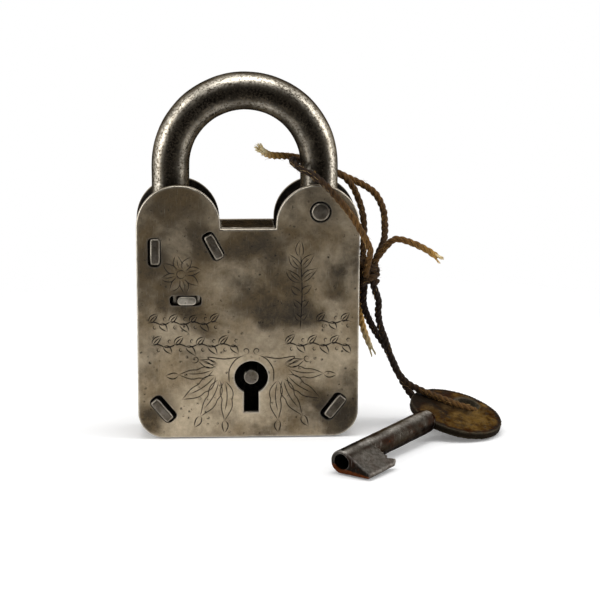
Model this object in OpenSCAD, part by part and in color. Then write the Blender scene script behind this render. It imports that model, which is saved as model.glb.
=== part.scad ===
// Old two-plate padlock with a swinging shackle, its pipe key tied on with jute twine.
// Millimetres. X runs across the case, -Y is the keyhole side, Z is up.
// The origin is the middle of the case's flat bottom.

/* [Case] */
// Width of the plates
case_w = 75; // [66:1:95]
// Height of the centres of the two round shoulders
shoulder_h = 73; // [66:1:92]
// Radius of each round shoulder
lobe_r = 14.1; // [12.5:0.1:16]
// Radius of the two bottom corners
corner_r = 9; // [4:0.5:12]
// Thickness of the front and back plates
plate_t = 2.5; // [1.5:0.1:4]
// Thickness of the strip round the sides
band_t = 2; // [1.2:0.1:3]
// Drop of the saddle between the shoulders, below their centres
saddle_drop = 0.7; // [0:0.1:3]
// Depth of the saddle strip's turned-down ends
saddle_lip = 3.5; // [2.5:0.1:4]

/* [Shackle] */
// Diameter of the shackle bar
bar_d = 12.7; // [8:0.1:15.5]
// Height of the arch's centre above the shoulders' centres
arch_rise = 19.6; // [10:0.1:40]
// Gap between the bar and each plate
leg_clear = 0.9; // [0.5:0.1:2]
// Diameter of the riveted pin that the shackle swings on
swing_pin_d = 6.2; // [4:0.1:8]
// Height of the swing pin above the shoulders' centres
swing_pin_rise = 5; // [3:0.5:8]
// Length of the locking leg below the shoulders' centres
toe_depth = 19.6; // [17.5:0.1:20]

/* [Posts] */
// Width of each post and its tenons
post_t = 3.4; // [2.5:0.1:4]
// Length of each tenon, across its long way
tenon_l = 9; // [7:0.1:10]
// How much longer each post is than its tenons, at each end
post_shoulder = 1.4; // [1:0.1:2]
// Gap round each tenon in its slot
slot_gap = 0.7; // [0.2:0.1:1]
// How far the hammered ends stand out of the plates
peen_h = 0.7; // [0.3:0.1:1.2]

/* [Bolt] */
// Thickness of the bolt plate
bolt_t = 5; // [3:0.1:6.5]
// Travel from rest to locked, to the left
lock_throw = 2.3; // [1.8:0.1:2.8]
// Travel from rest to fully drawn back, to the right
back_throw = 1.5; // [1:0.1:2]
// Length of the tongue that shows in the front plate's slot
tongue_l = 6.3; // [5:0.1:8]
// Height of the tongue
tongue_h = 2.8; // [2:0.1:4]
// Height of the nib that enters the shackle
nib_h = 3.2; // [2.5:0.1:3.6]
// Height of the bolt's tail above the key
tail_h = 9; // [7:0.5:10.8]
// Diameter of the stud that guides the tail
guide_stud_d = 4; // [3:0.1:5]
// Thickness of the leaf spring
leaf_t = 0.6; // [0.4:0.1:1]
// Width of the leaf spring
leaf_w = 4; // [2:0.1:5]
// Gap of a sliding fit
slide_gap = 0.15; // [0.1:0.05:0.2]
// Gap round a turning pin
pin_gap = 0.05; // [0.02:0.01:0.1]

/* [Keyhole] */
// Place of the key post across the case
key_x = 1; // [-4:0.5:4]
// Height of the key post above the bottom
key_z = 21; // [18:0.5:24]
// Diameter of the round part of the keyhole
keyhole_d = 11.4; // [9:0.1:14]
// Width of the keyhole's slot
keyhole_slot_w = 5; // [5:0.1:6]
// Diameter of the key post
key_post_d = 5; // [3.5:0.1:5.2]
// How far the key post's end lies below the front plate's face
key_post_recess = 0.5; // [0.2:0.1:1.5]

/* [Key] */
// Outer diameter of the key's pipe
pipe_d = 8; // [7.2:0.1:9]
// Gap between the key post and the pipe's bore
post_fit = 0.2; // [0.1:0.05:0.4]
// Reach of the bit from the pipe's centre line
bit_reach = 11.6; // [10:0.1:12]
// Thickness of the bit's outer edge
bit_edge_t = 2.2; // [1.6:0.1:2.4]
// Length of the pipe
pipe_l = 54; // [40:1:70]
// Depth of the pipe's bore
bore_l = 34; // [22:1:36]
// Length of the bow plate, along the pipe
bow_l = 30; // [24:1:34]
// Width of the bow plate, across the pipe
bow_w = 33; // [26:1:33]
// Thickness of the bow plate
bow_t = 2.6; // [1.6:0.1:2.6]
// Diameter of the hole in the bow plate
bow_hole_d = 9; // [9:0.5:11]

/* [Twine] */
// Diameter of the twine
twine_d = 2.3; // [1.6:0.1:2.4]

/* [Hidden] */
$fn = 96;
eps = 0.01;

// Depths: faces of the plates, inside and outside
case_gap = bar_d + 2 * leg_clear;
inner_y = case_gap / 2;
outer_y = inner_y + plate_t;
half_w = case_w / 2;
lobe_x = half_w - lobe_r;
saddle_z = shoulder_h - saddle_drop;

// Shackle: both legs, the pin and the arch
pin_x = lobe_x + 0.8;
pin_z = shoulder_h + swing_pin_rise;
toe_x = -(lobe_x + 2.4);
arch_x = (pin_x + toe_x) / 2;
arch_r = (pin_x - toe_x) / 2;
arch_z = shoulder_h + arch_rise;
toe_z = shoulder_h - toe_depth;
toe_in_x = toe_x + bar_d / 2;
eye_w = bar_d - 0.4;

// Post places in the XZ plane, with the turn of each post's long way
guide_out = [toe_x - bar_d / 2 + 0.95, shoulder_h - 8.2, 90];
guide_in = [lobe_r - lobe_x - 2.2, shoulder_h - 6.7, 118];
post_left = [-half_w + 8.1, 9.8, -50];
post_right = [half_w - 7.9, 10.4, 52];
POSTS = [guide_out, guide_in, post_left, post_right];

// The toe is filed to an arc about the pin, so that it swings past its outer guide
guide_out_in_x = guide_out[0] + post_t / 2;
guide_out_top = guide_out[1] + tenon_l / 2 + post_shoulder;
toe_clear = 0.4;
toe_r = norm([pin_x - guide_out_in_x, pin_z - guide_out_top]) - toe_clear;
toe_step_z = guide_out_top + 2 * toe_clear;

// Right end of the band: just under the shackle when it lies over on its side
swing_rest_gap = 0.5;
band_right_z = pin_z - bar_d / 2 - swing_rest_gap;

// Bolt: it runs midway between the plates, and its head stands beside the toe
bolt_y = bolt_t / 2;
nib_z = toe_z + 2.8;
nib_tip_x = toe_in_x + 0.3;
head_x = nib_tip_x + lock_throw;
head_w = 5.3;
head_top = nib_z + nib_h;
notch_gap = 0.5;
notch_depth = lock_throw - 0.3 + notch_gap;
tongue_x = toe_x + 5.1;
tongue_z = shoulder_h - 25.1;
block_l = tongue_l + 3.2;
block_h = 5.6;
tail_z = key_z + bit_reach - 0.6;
tail_top = tail_z + tail_h;
tail_right = key_x + 22;
talon_w = 6.5;
talon_x = key_x + (back_throw - lock_throw) / 2;
stud_x = key_x + 13;
stud_z = tail_z + tail_h / 2;
travel = lock_throw + back_throw;
travel_mid = (back_throw - lock_throw) / 2;
detent_x = key_x + 3;
detent_h = 0.8;

// Leaf spring: its line from the stud to the free end, in the XZ plane
leaf_stud_d = 4;
leaf_x = half_w - 9;
leaf_z = tail_top + 7;
leaf_rest = tail_top + leaf_t / 2 + slide_gap;
leaf_eye_r = leaf_stud_d / 2 + leaf_t + 0.2;
leaf_line = [[leaf_x + 0.3, leaf_z - leaf_eye_r + 0.4],
    [leaf_x - 8, leaf_z - 3.2], [detent_x + 6, leaf_rest + 1],
    [detent_x + 1.6, leaf_rest + 0.5], [detent_x, leaf_rest - detent_h / 2],
    [detent_x - 1.6, leaf_rest + 0.5], [detent_x - 4.5, leaf_rest + 1.6]];
stop_pin_d = 3;
stop_x = leaf_x - 8;
stop_z = leaf_z - 3.2 + leaf_t / 2 + stop_pin_d / 2 + 0.1;

// Key: where its tip lies, the way it points, its rise and its lean
key_place = [half_w - 9.3, -52.8, pipe_d / 2 + 0.05];
key_turn = 50.7;
key_rise = 2.1;
key_lean = 15;
bore_d = key_post_d + 2 * post_fit;
bit_l = case_gap - 0.4;
bit_end_x = bit_reach - bit_edge_t / 2;
bow_x = pipe_l + 11.5;
bow_off = -3;
bow_hole_x = bow_x + bow_l / 2 - bow_hole_d / 2 - 2.7;
tang_gap = 0.02;

// The routes below suit this case and key. At other sizes, laid() moves them along:
// out with the case's side and faces, up with its shoulders, or at the key, with its pipe
fit_half_w = 37.5;
fit_shoulder_h = 73;
fit_outer_y = 9.75;
fit_pipe_r = 4;
low_z = 20;
high_z = 60;
function laid(p) =
    let (up = max(0, min(1, (p[2] - low_z) / (high_z - low_z))))
    [p[0] + half_w - fit_half_w, p[1] * outer_y / fit_outer_y,
        p[2] + up * (shoulder_h - fit_shoulder_h) + (1 - up) * (pipe_d / 2 - fit_pipe_r)];

// Route of the long twine: free end in the arch, behind the leg, round to the knot,
// down to the key, over the bow plate, through its hole, under it and back to the knot
long_route = [[4.5, -2, 98], [7.5, 2, 95.5], [12.5, 6, 94.5], [17, 9, 93.5],
    [23.5, 11, 91.5], [29.5, 11.5, 88.5], [35, 11.5, 86], [40.5, 10.5, 83.5],
    [44.5, 9.5, 80.5], [47, 8.5, 75.5], [47.5, 6.5, 70], [47, 4, 65.5],
    [45, 1.5, 61.5], [43, -0.5, 57.5], [42.5, -1.5, 53.5], [43.5, -1, 49.5],
    [45, 0, 45], [45, 1, 40.5], [46, 2, 35.5], [48, 3, 30], [50, 4, 24],
    [52.5, 4.5, 18.5], [56, 4.5, 14.5], [60.5, 3.5, 12.2], [66, 2.5, 11],
    [72, 1.5, 9.8], [76.5, 1.5, 8.3], [79, 2, 5.8], [78.7, 3, 3.2], [75.5, 4, 1.8],
    [70.5, 5, 2], [65, 6.5, 3.8], [60, 8, 7], [56, 8.5, 12], [53, 8, 17.5],
    [50.5, 7, 23], [47.5, 6, 28.5], [44, 5, 34], [41.5, 3.5, 39], [40, 2, 44],
    [40, 0.5, 49], [40.5, 0, 54]];
// Route of the short twine: free end to the right, through the knot, over the front,
// round the leg, down behind and out below the knot to a second free end
short_route = [[64, -9, 62], [61, -8, 64], [57, -7, 66], [52.5, -6, 67.5],
    [49.5, -5, 67.5], [47, -4, 65], [44.5, -3, 61.5], [42.5, -2.5, 57.5],
    [41, -3.5, 54.5], [40, -5.5, 56], [40.5, -7.5, 60], [41, -9.5, 64.5],
    [39.5, -11.2, 68.5], [37.5, -11.5, 72], [34.5, -11.5, 77], [30, -11.5, 82.5],
    [26, -11.3, 87], [22, -9.5, 90.2], [18, -7, 92], [15.5, -3, 93.5],
    [15.3, 1.5, 93.8], [17, 5.8, 93], [21, 8.4, 91.8], [26.5, 8.9, 90],
    [32, 9, 87.8], [36, 9.3, 84], [38.5, 9.5, 79], [40, 9, 74], [40.5, 7.5, 68.5],
    [40, 5, 63.5], [39.9, 2.8, 59], [39.6, 2.6, 54.5], [39.3, 4, 49.5],
    [39.1, 6.2, 45], [39.3, 8, 40.5], [40, 8.5, 36], [41.5, 8.5, 31], [43.5, 8, 26]];
knot_place = laid([41.6, -1.5, 56]);
knot_r = 2.9;
knot_half = 5.6;

// ---- small helpers ----

// A flat shape drawn in X and Z, filling the depth from y0 to y1
module slab(y0, y1) {
    translate([0, y1, 0]) rotate([90, 0, 0]) linear_extrude(y1 - y0) children();
}

// A round pin along Y
module pin_y(x, z, d, y0, y1) {
    translate([x, y1, z]) rotate([90, 0, 0]) cylinder(d = d, h = y1 - y0);
}

// A slot shape with round ends, l long and w wide
module oblong(l, w) {
    square([l - w, w], center = true);
    for (s = [-1, 1]) translate([s * (l - w) / 2, 0]) circle(d = w);
}

// Places a flat shape at a post: [x, z, turn]
module at_post(p) {
    translate([p[0], p[1]]) rotate(p[2]) children();
}

// ---- case ----

// Outline of both plates
module plate_outline() {
    translate([-half_w, corner_r]) square([case_w, saddle_z - corner_r]);
    translate([corner_r - half_w, 0]) square([case_w - 2 * corner_r, corner_r + 1]);
    for (s = [-1, 1]) {
        translate([s * (half_w - corner_r), corner_r]) circle(r = corner_r);
        translate([s * lobe_x, shoulder_h]) circle(r = lobe_r);
        translate([s * lobe_x - lobe_r, saddle_z - 1])
            square([2 * lobe_r, saddle_drop + 1]);
    }
}

// Slots for the tenons and the hole for the swing pin, in both plates
module plate_holes() {
    for (p = POSTS) at_post(p) oblong(tenon_l + 2 * slot_gap, post_t + 2 * slot_gap);
    translate([pin_x, pin_z]) circle(d = swing_pin_d + 0.6);
}

module keyhole() {
    translate([key_x, key_z]) circle(d = keyhole_d);
    translate([key_x - keyhole_slot_w / 2, key_z - bit_reach - 0.6])
        square([keyhole_slot_w, bit_reach]);
}

module front_plate() {
    color([0.46, 0.43, 0.38]) slab(-outer_y, -inner_y) difference() {
        plate_outline();
        plate_holes();
        keyhole();
        translate([tongue_x + travel_mid, tongue_z])
            oblong(tongue_l + travel + 0.5, tongue_h + 2 * slide_gap + 0.2);
    }
}

module back_plate() {
    color([0.42, 0.40, 0.36]) slab(inner_y, outer_y) difference() {
        plate_outline();
        plate_holes();
        translate([key_x, key_z]) circle(d = key_post_d - 1);
        translate([stud_x, stud_z]) circle(d = guide_stud_d - 1);
        translate([leaf_x, leaf_z]) circle(d = leaf_stud_d - 1);
        translate([stop_x, stop_z]) circle(d = stop_pin_d - 1);
    }
}

// Strip round the left side, the bottom and the right side, between the plates
module side_band() {
    r_in = corner_r - band_t;
    color([0.40, 0.37, 0.33]) slab(-inner_y, inner_y) difference() {
        union() {
            translate([-half_w, corner_r]) square([band_t, shoulder_h - corner_r]);
            translate([half_w - band_t, corner_r])
                square([band_t, band_right_z - corner_r]);
            translate([corner_r - half_w, 0]) square([case_w - 2 * corner_r, band_t]);
            for (s = [-1, 1]) translate([s * (half_w - corner_r), corner_r])
                intersection() {
                    circle(r = corner_r);
                    translate([s > 0 ? 0 : -corner_r, -corner_r]) square(corner_r);
                }
        }
        for (s = [-1, 1]) translate([s * (half_w - corner_r), corner_r])
            circle(r = r_in);
    }
}

// Short strip that closes the top between the shoulders, with its ends turned down
module saddle_strip() {
    saddle_half = lobe_x - lobe_r;
    color([0.44, 0.40, 0.35]) slab(-inner_y, inner_y) {
        translate([-saddle_half, saddle_z - band_t]) square([2 * saddle_half, band_t]);
        for (x = [-saddle_half, saddle_half - band_t])
            translate([x, saddle_z - saddle_lip]) square([band_t, saddle_lip]);
    }
}

// ---- posts that hold the plates together ----

// Flat bar between the plates, with a tenon through each plate, hammered over
module post(p) {
    body_l = tenon_l + 2 * post_shoulder;
    peen_step = peen_h / 2;
    slab(-inner_y, inner_y) at_post(p) square([body_l, post_t], center = true);
    slab(-outer_y - peen_step, outer_y + peen_step) at_post(p) oblong(tenon_l, post_t);
    slab(-outer_y - peen_h, outer_y + peen_h) at_post(p)
        oblong(tenon_l - peen_h, post_t - peen_h);
}

module toe_guide_outer() { color([0.34, 0.33, 0.31]) post(guide_out); }
module toe_guide_inner() { color([0.34, 0.33, 0.31]) post(guide_in); }
module lower_post_left() { color([0.34, 0.33, 0.31]) post(post_left); }
module lower_post_right() { color([0.34, 0.33, 0.31]) post(post_right); }

// ---- shackle ----

// Round bar bent to an arch. The right leg ends in an eye, the left in a filed toe.
module shackle() {
    color([0.45, 0.43, 0.40]) difference() {
        union() {
            translate([arch_x, 0, arch_z]) rotate([90, 0, 0])
                rotate_extrude(angle = 180) translate([arch_r, 0]) circle(d = bar_d);
            translate([pin_x, 0, pin_z]) cylinder(d = bar_d, h = arch_z - pin_z);
            pin_y(pin_x, pin_z, bar_d, -eye_w / 2, eye_w / 2);
            translate([toe_x, 0, toe_z]) cylinder(d = bar_d, h = arch_z - toe_z);
        }
        pin_y(pin_x, pin_z, swing_pin_d + 2 * pin_gap, -bar_d, bar_d);
        // Arc relief on the toe's outer side
        difference() {
            translate([toe_x - bar_d, -bar_d, toe_z - 1])
                cube([2 * bar_d, 2 * bar_d, toe_step_z - toe_z + 1]);
            pin_y(pin_x, pin_z, 2 * toe_r, -2 * bar_d, 2 * bar_d);
        }
        // Notch that the bolt's nib enters
        translate([toe_in_x - notch_depth, -bar_d, nib_z - notch_gap])
            cube([bar_d, 2 * bar_d, nib_h + 2 * notch_gap]);
    }
}

module swing_pin() {
    color([0.38, 0.37, 0.35]) {
        pin_y(pin_x, pin_z, swing_pin_d, -outer_y - peen_h / 2, outer_y + peen_h / 2);
        pin_y(pin_x, pin_z, swing_pin_d - peen_h, -outer_y - peen_h, outer_y + peen_h);
    }
}

// Post that the key's pipe fits over, riveted in the back plate
module key_post() {
    color([0.55, 0.52, 0.48]) {
        pin_y(key_x, key_z, key_post_d, -outer_y + key_post_recess, inner_y);
        pin_y(key_x, key_z, key_post_d - 1, inner_y - 1, outer_y);
    }
}

// ---- bolt and its spring ----

// Outline of the bolt: head with its nib, waist at the tongue, tail above the key
module bolt_outline() {
    waist_l = tongue_x - block_l / 2;
    waist_r = head_x + head_w;
    waist_top = tongue_z + block_h / 2;
    waist_low = min(tongue_z - block_h / 2, tail_top - 2);
    difference() {
        polygon([[waist_l, waist_low], [waist_l, waist_top], [head_x, waist_top],
            [head_x, nib_z], [nib_tip_x, nib_z], [nib_tip_x, head_top],
            [waist_r, head_top], [waist_r, tail_top], [tail_right, tail_top],
            [tail_right, tail_z], [waist_l + 12, tail_z], [waist_l + 6, waist_low]]);
        translate([talon_x - talon_w / 2, tail_z - 1]) square([talon_w, 2.6]);
        translate([stud_x - travel_mid, stud_z])
            oblong(guide_stud_d + travel + 2 * slide_gap, guide_stud_d + 2 * slide_gap);
        for (x = [detent_x, detent_x + lock_throw]) translate([x, tail_top])
            polygon([[-2, eps], [2, eps], [0, -2 * detent_h]]);
    }
}

module bolt() {
    color([0.50, 0.46, 0.38]) slab(-bolt_y, bolt_y) difference() {
        bolt_outline();
        translate([tongue_x, tongue_z]) oblong(tongue_l, tongue_h);
    }
}

// Tongue riveted in the bolt. Its two blocks keep the bolt midway between the plates,
// and its end shows in the front plate's slot.
module bolt_tongue() {
    color([0.62, 0.60, 0.56]) {
        slab(-outer_y - peen_h, bolt_y) translate([tongue_x, tongue_z])
            oblong(tongue_l, tongue_h);
        for (side = [[slide_gap - inner_y, -bolt_y], [bolt_y, inner_y - slide_gap]])
            slab(side[0], side[1]) translate([tongue_x, tongue_z])
                square([block_l, block_h], center = true);
    }
}

// A stud riveted in the back plate
module back_stud(x, z, d, length) {
    pin_y(x, z, d, inner_y - length, inner_y);
    pin_y(x, z, d - 1, inner_y - 1, outer_y);
}

// The bolt's tail slides between this stud's collar and its head
module bolt_guide_stud() {
    head_t = 1;
    flank = bolt_y + slide_gap;
    color([0.42, 0.40, 0.37]) {
        back_stud(stud_x, stud_z, guide_stud_d, inner_y + flank + head_t);
        pin_y(stud_x, stud_z, guide_stud_d + 3, -flank - head_t, -flank);
        pin_y(stud_x, stud_z, guide_stud_d + 3, flank, inner_y);
    }
}

module leaf_stud() {
    color([0.42, 0.40, 0.37])
        back_stud(leaf_x, leaf_z, leaf_stud_d, inner_y + bolt_y + 1);
}

module leaf_stop_pin() {
    color([0.42, 0.40, 0.37])
        back_stud(stop_x, stop_z, stop_pin_d, inner_y + bolt_y + 1);
}

// Unit normal of the leaf's line at point i
function leaf_normal(i) =
    let (a = leaf_line[max(i - 1, 0)], b = leaf_line[min(i + 1, len(leaf_line) - 1)],
        d = (b - a) / norm(b - a)) [-d[1], d[0]];

module leaf_spring() {
    n = len(leaf_line);
    under = [for (i = [0:n - 1]) leaf_line[i] + leaf_normal(i) * leaf_t / 2];
    over = [for (i = [n - 1:-1:0]) leaf_line[i] - leaf_normal(i) * leaf_t / 2];
    color([0.33, 0.35, 0.38]) difference() {
        union() {
            slab(-leaf_w / 2, leaf_w / 2) polygon(concat(under, over));
            pin_y(leaf_x, leaf_z, 2 * leaf_eye_r, -leaf_w / 2, leaf_w / 2);
        }
        pin_y(leaf_x, leaf_z, leaf_stud_d + 2 * pin_gap, -leaf_w, leaf_w);
    }
}

// ---- key ----

// Frame of the key: X along the pipe from its mouth, -Y towards the bit
module key_frame() {
    translate(key_place) rotate([0, 0, key_turn]) rotate([0, -key_rise, 0])
        rotate([key_lean, 0, 0]) children();
}

// Section of a sheet folded round a pin: a circle that tapers to a smaller one.
// The straight flanks lie just inside the tangents, so that they cut the circles.
module fold_section(r, tip_r, reach) {
    lean = asin((r - tip_r) / reach);
    inset = 0.02;
    circle(r = r);
    translate([0, -reach]) circle(r = tip_r);
    polygon([for (s = [-1, 1], end = [0, 1])
        let (e = (s < 0) ? end : 1 - end, rr = (e == 0 ? r : tip_r) - inset)
        [s * rr * cos(lean), -e * reach - rr * sin(lean)]]);
}

// Rolled sheet pipe with its folded bit. The far end is slit for the bow plate.
module key_pipe() {
    color([0.30, 0.28, 0.26]) key_frame() difference() {
        union() {
            rotate([90, 0, 90]) cylinder(d = pipe_d, h = pipe_l - pipe_d / 2);
            translate([pipe_l - pipe_d / 2, 0, 0]) sphere(d = pipe_d);
            rotate([90, 0, 90]) linear_extrude(bit_l) rotate(-90)
                fold_section(pipe_d / 2, bit_edge_t / 2, bit_end_x);
        }
        translate([-1, 0, 0]) rotate([90, 0, 90]) cylinder(d = bore_d, h = bore_l + 1);
        translate([-1, 0, 0]) rotate([90, 0, 90]) linear_extrude(bit_l - 1) rotate(-90)
            fold_section(bore_d / 2, 0.25, bit_end_x - 3);
        translate([bow_x - bow_l / 2 - tang_gap, -pipe_d, -bow_t / 2 - tang_gap])
            cube([bow_l, 2 * pipe_d, bow_t + 2 * tang_gap]);
    }
}

// Oval plate with a round hole for the twine
module key_bow() {
    steps = 72;
    rim = [for (i = [0:steps - 1]) let (a = 360 * i / steps)
        [bow_l / 2 * cos(a), bow_w / 2 * sin(a)]];
    color([0.47, 0.36, 0.22]) key_frame() translate([0, 0, -bow_t / 2])
        linear_extrude(bow_t) difference() {
            translate([bow_x, bow_off]) polygon(rim);
            translate([bow_hole_x, bow_off + 0.5]) circle(d = bow_hole_d);
        }
}

// ---- twine ----

function unit(v) = v / norm(v);

// Direction of a route at point i
function way(route, i) =
    unit(route[min(i + 1, len(route) - 1)] - route[max(i - 1, 0)]);

// Side direction at point i, carried along from the start so that it never flips
function side_at(route, i) =
    let (t = way(route, i), s = (i == 0) ? [0.3, 1, 0.2] : side_at(route, i - 1))
    unit(s - (s * t) * t);

// A round tube along a route
module tube(route, d) {
    sides = 8;
    n = len(route);
    points = [for (i = [0:n - 1])
        let (t = way(route, i), u = side_at(route, i), v = cross(t, u))
        for (k = [0:sides - 1]) let (a = 360 * k / sides)
            route[i] + (u * cos(a) + v * sin(a)) * d / 2];
    walls = [for (i = [0:n - 2], k = [0:sides - 1])
        let (a = i * sides + k, b = i * sides + (k + 1) % sides)
        each [[a, a + sides, b], [b, a + sides, b + sides]]];
    first = [for (k = [0:sides - 1]) k];
    last = [for (k = [sides - 1:-1:0]) (n - 1) * sides + k];
    polyhedron(points, concat([first], walls, [last]));
}

module twine_long() {
    color([0.36, 0.25, 0.13]) tube([for (p = long_route) laid(p)], twine_d);
}

module twine_short() {
    color([0.42, 0.30, 0.16]) tube([for (p = short_route) laid(p)], twine_d);
}

// Egg-shaped body of the knot
module twine_knot() {
    steps = 12;
    half = [for (i = [0:steps]) let (a = 180 * i / steps - 90)
        [max(knot_r * cos(a), 0), knot_half * sin(a)]];
    color([0.28, 0.18, 0.09]) translate(knot_place) rotate([-10, -8, 0])
        rotate_extrude() polygon(half);
}

front_plate();
back_plate();
side_band();
saddle_strip();
shackle();
swing_pin();
key_post();
toe_guide_outer();
toe_guide_inner();
lower_post_left();
lower_post_right();
bolt();
bolt_tongue();
bolt_guide_stud();
leaf_spring();
leaf_stud();
leaf_stop_pin();
key_pipe();
key_bow();
twine_long();
twine_short();
twine_knot();
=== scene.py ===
"""Old two-plate padlock with its pipe key tied on by jute twine: worn metal, engraving, twine and light.

The strips, the bolt's tongue, the key post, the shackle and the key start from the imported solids' own
meshes. The plates, the pins and the twine are made anew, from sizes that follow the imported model.
Each class holds its sizes in millimetres, in the row's frame: X across the case, -Y towards the
keyhole side, Z up from its foot.
"""

from __future__ import annotations

import logging
import math
import random
from dataclasses import dataclass, field
from enum import Enum
from typing import Iterable, Sequence

import bmesh
import bpy
import numpy as np
from mathutils import Matrix, Vector, noise
from mathutils.geometry import delaunay_2d_cdt
from mathutils.kdtree import KDTree

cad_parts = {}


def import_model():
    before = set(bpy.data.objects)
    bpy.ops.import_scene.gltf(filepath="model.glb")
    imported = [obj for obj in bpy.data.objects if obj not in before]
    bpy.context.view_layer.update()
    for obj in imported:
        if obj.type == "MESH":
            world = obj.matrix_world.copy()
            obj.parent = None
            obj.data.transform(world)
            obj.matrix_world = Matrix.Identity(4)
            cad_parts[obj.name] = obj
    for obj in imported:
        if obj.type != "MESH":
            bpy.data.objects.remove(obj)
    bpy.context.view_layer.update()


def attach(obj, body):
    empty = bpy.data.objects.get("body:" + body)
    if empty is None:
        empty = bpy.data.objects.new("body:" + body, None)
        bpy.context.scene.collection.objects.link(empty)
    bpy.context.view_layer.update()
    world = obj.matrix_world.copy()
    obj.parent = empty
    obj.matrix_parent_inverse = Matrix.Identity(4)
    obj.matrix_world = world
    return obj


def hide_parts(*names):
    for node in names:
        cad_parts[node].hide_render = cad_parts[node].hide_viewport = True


LOG = logging.getLogger("padlock")
MM = 0.001

Colour = tuple[float, float, float, float]
Faces = list[tuple[int, ...]]


class Body(Enum):
    """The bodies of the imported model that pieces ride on."""

    CASE = "case"
    SHACKLE = "shackle"
    BOLT = "bolt"


class Slot(Enum):
    """The material slots."""

    PLATE = "plate_steel"
    BAND = "band_steel"
    SHACKLE = "shackle_steel"
    RIVET = "rivet_steel"
    BOLT = "bolt_steel"
    SPRING = "spring_steel"
    KEY = "key_steel"
    BOW = "bow_steel"
    JUTE = "jute"


# ---------------------------------------------------------------- small tools


def linear(hex_colour: str) -> Colour:
    """Turns an sRGB hex colour to linear light.

    Args:
        hex_colour: Six hex digits, with or without a leading #.

    Returns:
        Red, green, blue and an alpha of 1.
    """
    digits = hex_colour.lstrip("#")
    channels = [int(digits[i : i + 2], 16) / 255 for i in (0, 2, 4)]
    lit = [c / 12.92 if c <= 0.04045 else ((c + 0.055) / 1.055) ** 2.4 for c in channels]
    return (lit[0], lit[1], lit[2], 1.0)


def per_mm(size: float) -> float:
    """Gives the texture scale at which a cell of noise is size millimetres across."""
    return 1.0 / (size * MM)


def add_node(
    tree: bpy.types.NodeTree,
    kind: str,
    inputs: dict[str | int, object] | None = None,
    **settings: object,
) -> bpy.types.Node:
    """Adds a node, sets it up and links it.

    Args:
        tree: The node tree.
        kind: The node's type, such as ShaderNodeTexNoise.
        inputs: What goes in each input, by name or number: a socket to link, or a plain value.
        settings: The node's own properties.

    Returns:
        The new node.
    """
    made = tree.nodes.new(kind)
    for name, value in settings.items():
        setattr(made, name, value)
    for key, value in (inputs or {}).items():
        if isinstance(value, bpy.types.NodeSocket):
            tree.links.new(value, made.inputs[key])
        else:
            made.inputs[key].default_value = value
    return made


def new_piece(
    name: str,
    points: np.ndarray,
    faces: Iterable[Sequence[int]],
    painted: dict[str, np.ndarray] | None = None,
) -> bpy.types.Object:
    """Makes a smooth mesh object with its paint.

    Args:
        name: The piece's name.
        points: Corners in millimetres, in the row's frame.
        faces: Corner numbers of each face.
        painted: Values at the corners by name, such as wear_and_highlight or grime_and_shade.

    Returns:
        The object, linked to the scene.
    """
    mesh = bpy.data.meshes.new(name)
    mesh.from_pydata((np.asarray(points) * MM).tolist(), [], [tuple(map(int, f)) for f in faces])
    for key, values in (painted or {}).items():
        layer = mesh.attributes.new(key, "FLOAT", "POINT")
        layer.data.foreach_set("value", np.asarray(values, np.float32))
    mesh.shade_smooth()
    piece = bpy.data.objects.new(name, mesh)
    bpy.context.scene.collection.objects.link(piece)
    return piece


def place_piece(
    piece: bpy.types.Object,
    body: Body,
    finish: bpy.types.Material,
    slot: Slot,
    *nodes: str,
) -> bpy.types.Object:
    """Dresses a piece, hangs it on its body and hides the solids that it stands for.

    Args:
        piece: The mesh.
        body: The body that it moves with.
        finish: Its material.
        slot: The material slot; not used.
        *nodes: The solids that it stands for.

    Returns:
        The same piece.
    """
    piece.data.materials.clear()
    piece.data.materials.append(finish)
    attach(piece, body.value)
    if nodes:
        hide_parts(*nodes)
    LOG.info("%s: %d faces on %s", piece.name, len(piece.data.polygons), body.value)
    return piece


def corners_of(piece: bpy.types.Object) -> np.ndarray:
    """Gives a mesh's corners in millimetres.

    Args:
        piece: The mesh.

    Returns:
        One row a corner.
    """
    flat = np.empty(len(piece.data.vertices) * 3, np.float64)
    piece.data.vertices.foreach_get("co", flat)
    return flat.reshape(-1, 3) / MM


def normals_of(piece: bpy.types.Object) -> np.ndarray:
    """Gives a mesh's corner normals.

    Args:
        piece: The mesh.

    Returns:
        One row a corner.
    """
    flat = np.empty(len(piece.data.vertices) * 3, np.float64)
    piece.data.vertices.foreach_get("normal", flat)
    return flat.reshape(-1, 3)


def set_corners(piece: bpy.types.Object, points: np.ndarray) -> None:
    """Puts a mesh's corners at these places, in millimetres."""
    piece.data.vertices.foreach_set("co", (points * MM).astype(np.float32).ravel())
    piece.data.update()


def ripple(points: np.ndarray, size: float, seed: float) -> np.ndarray:
    """Gives smooth noise from about -1 to 1 at each point, with swells of the given size in mm."""
    shift = Vector((seed, -seed, 2 * seed))
    return np.array([noise.noise(Vector(p) / size + shift) for p in points])


def relax(piece: bpy.types.Object, points: np.ndarray, rounds: int, pull: float) -> np.ndarray:
    """Moves each corner towards the mean of its neighbours.

    Args:
        piece: The mesh whose edges join the corners.
        points: The corners to move.
        rounds: How often.
        pull: Share of the way, from 0 to 1.

    Returns:
        The moved corners.
    """
    ends = np.empty(len(piece.data.edges) * 2, np.int64)
    piece.data.edges.foreach_get("vertices", ends)
    a, b = ends.reshape(-1, 2).T
    count = np.bincount(ends, minlength=len(points))[:, None].clip(1)
    for _ in range(rounds):
        total = np.stack(
            [
                np.bincount(a, points[b, k], len(points)) + np.bincount(b, points[a, k], len(points))
                for k in range(3)
            ],
            axis=1,
        )
        points = points + pull * (total / count - points)
    return points


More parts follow.
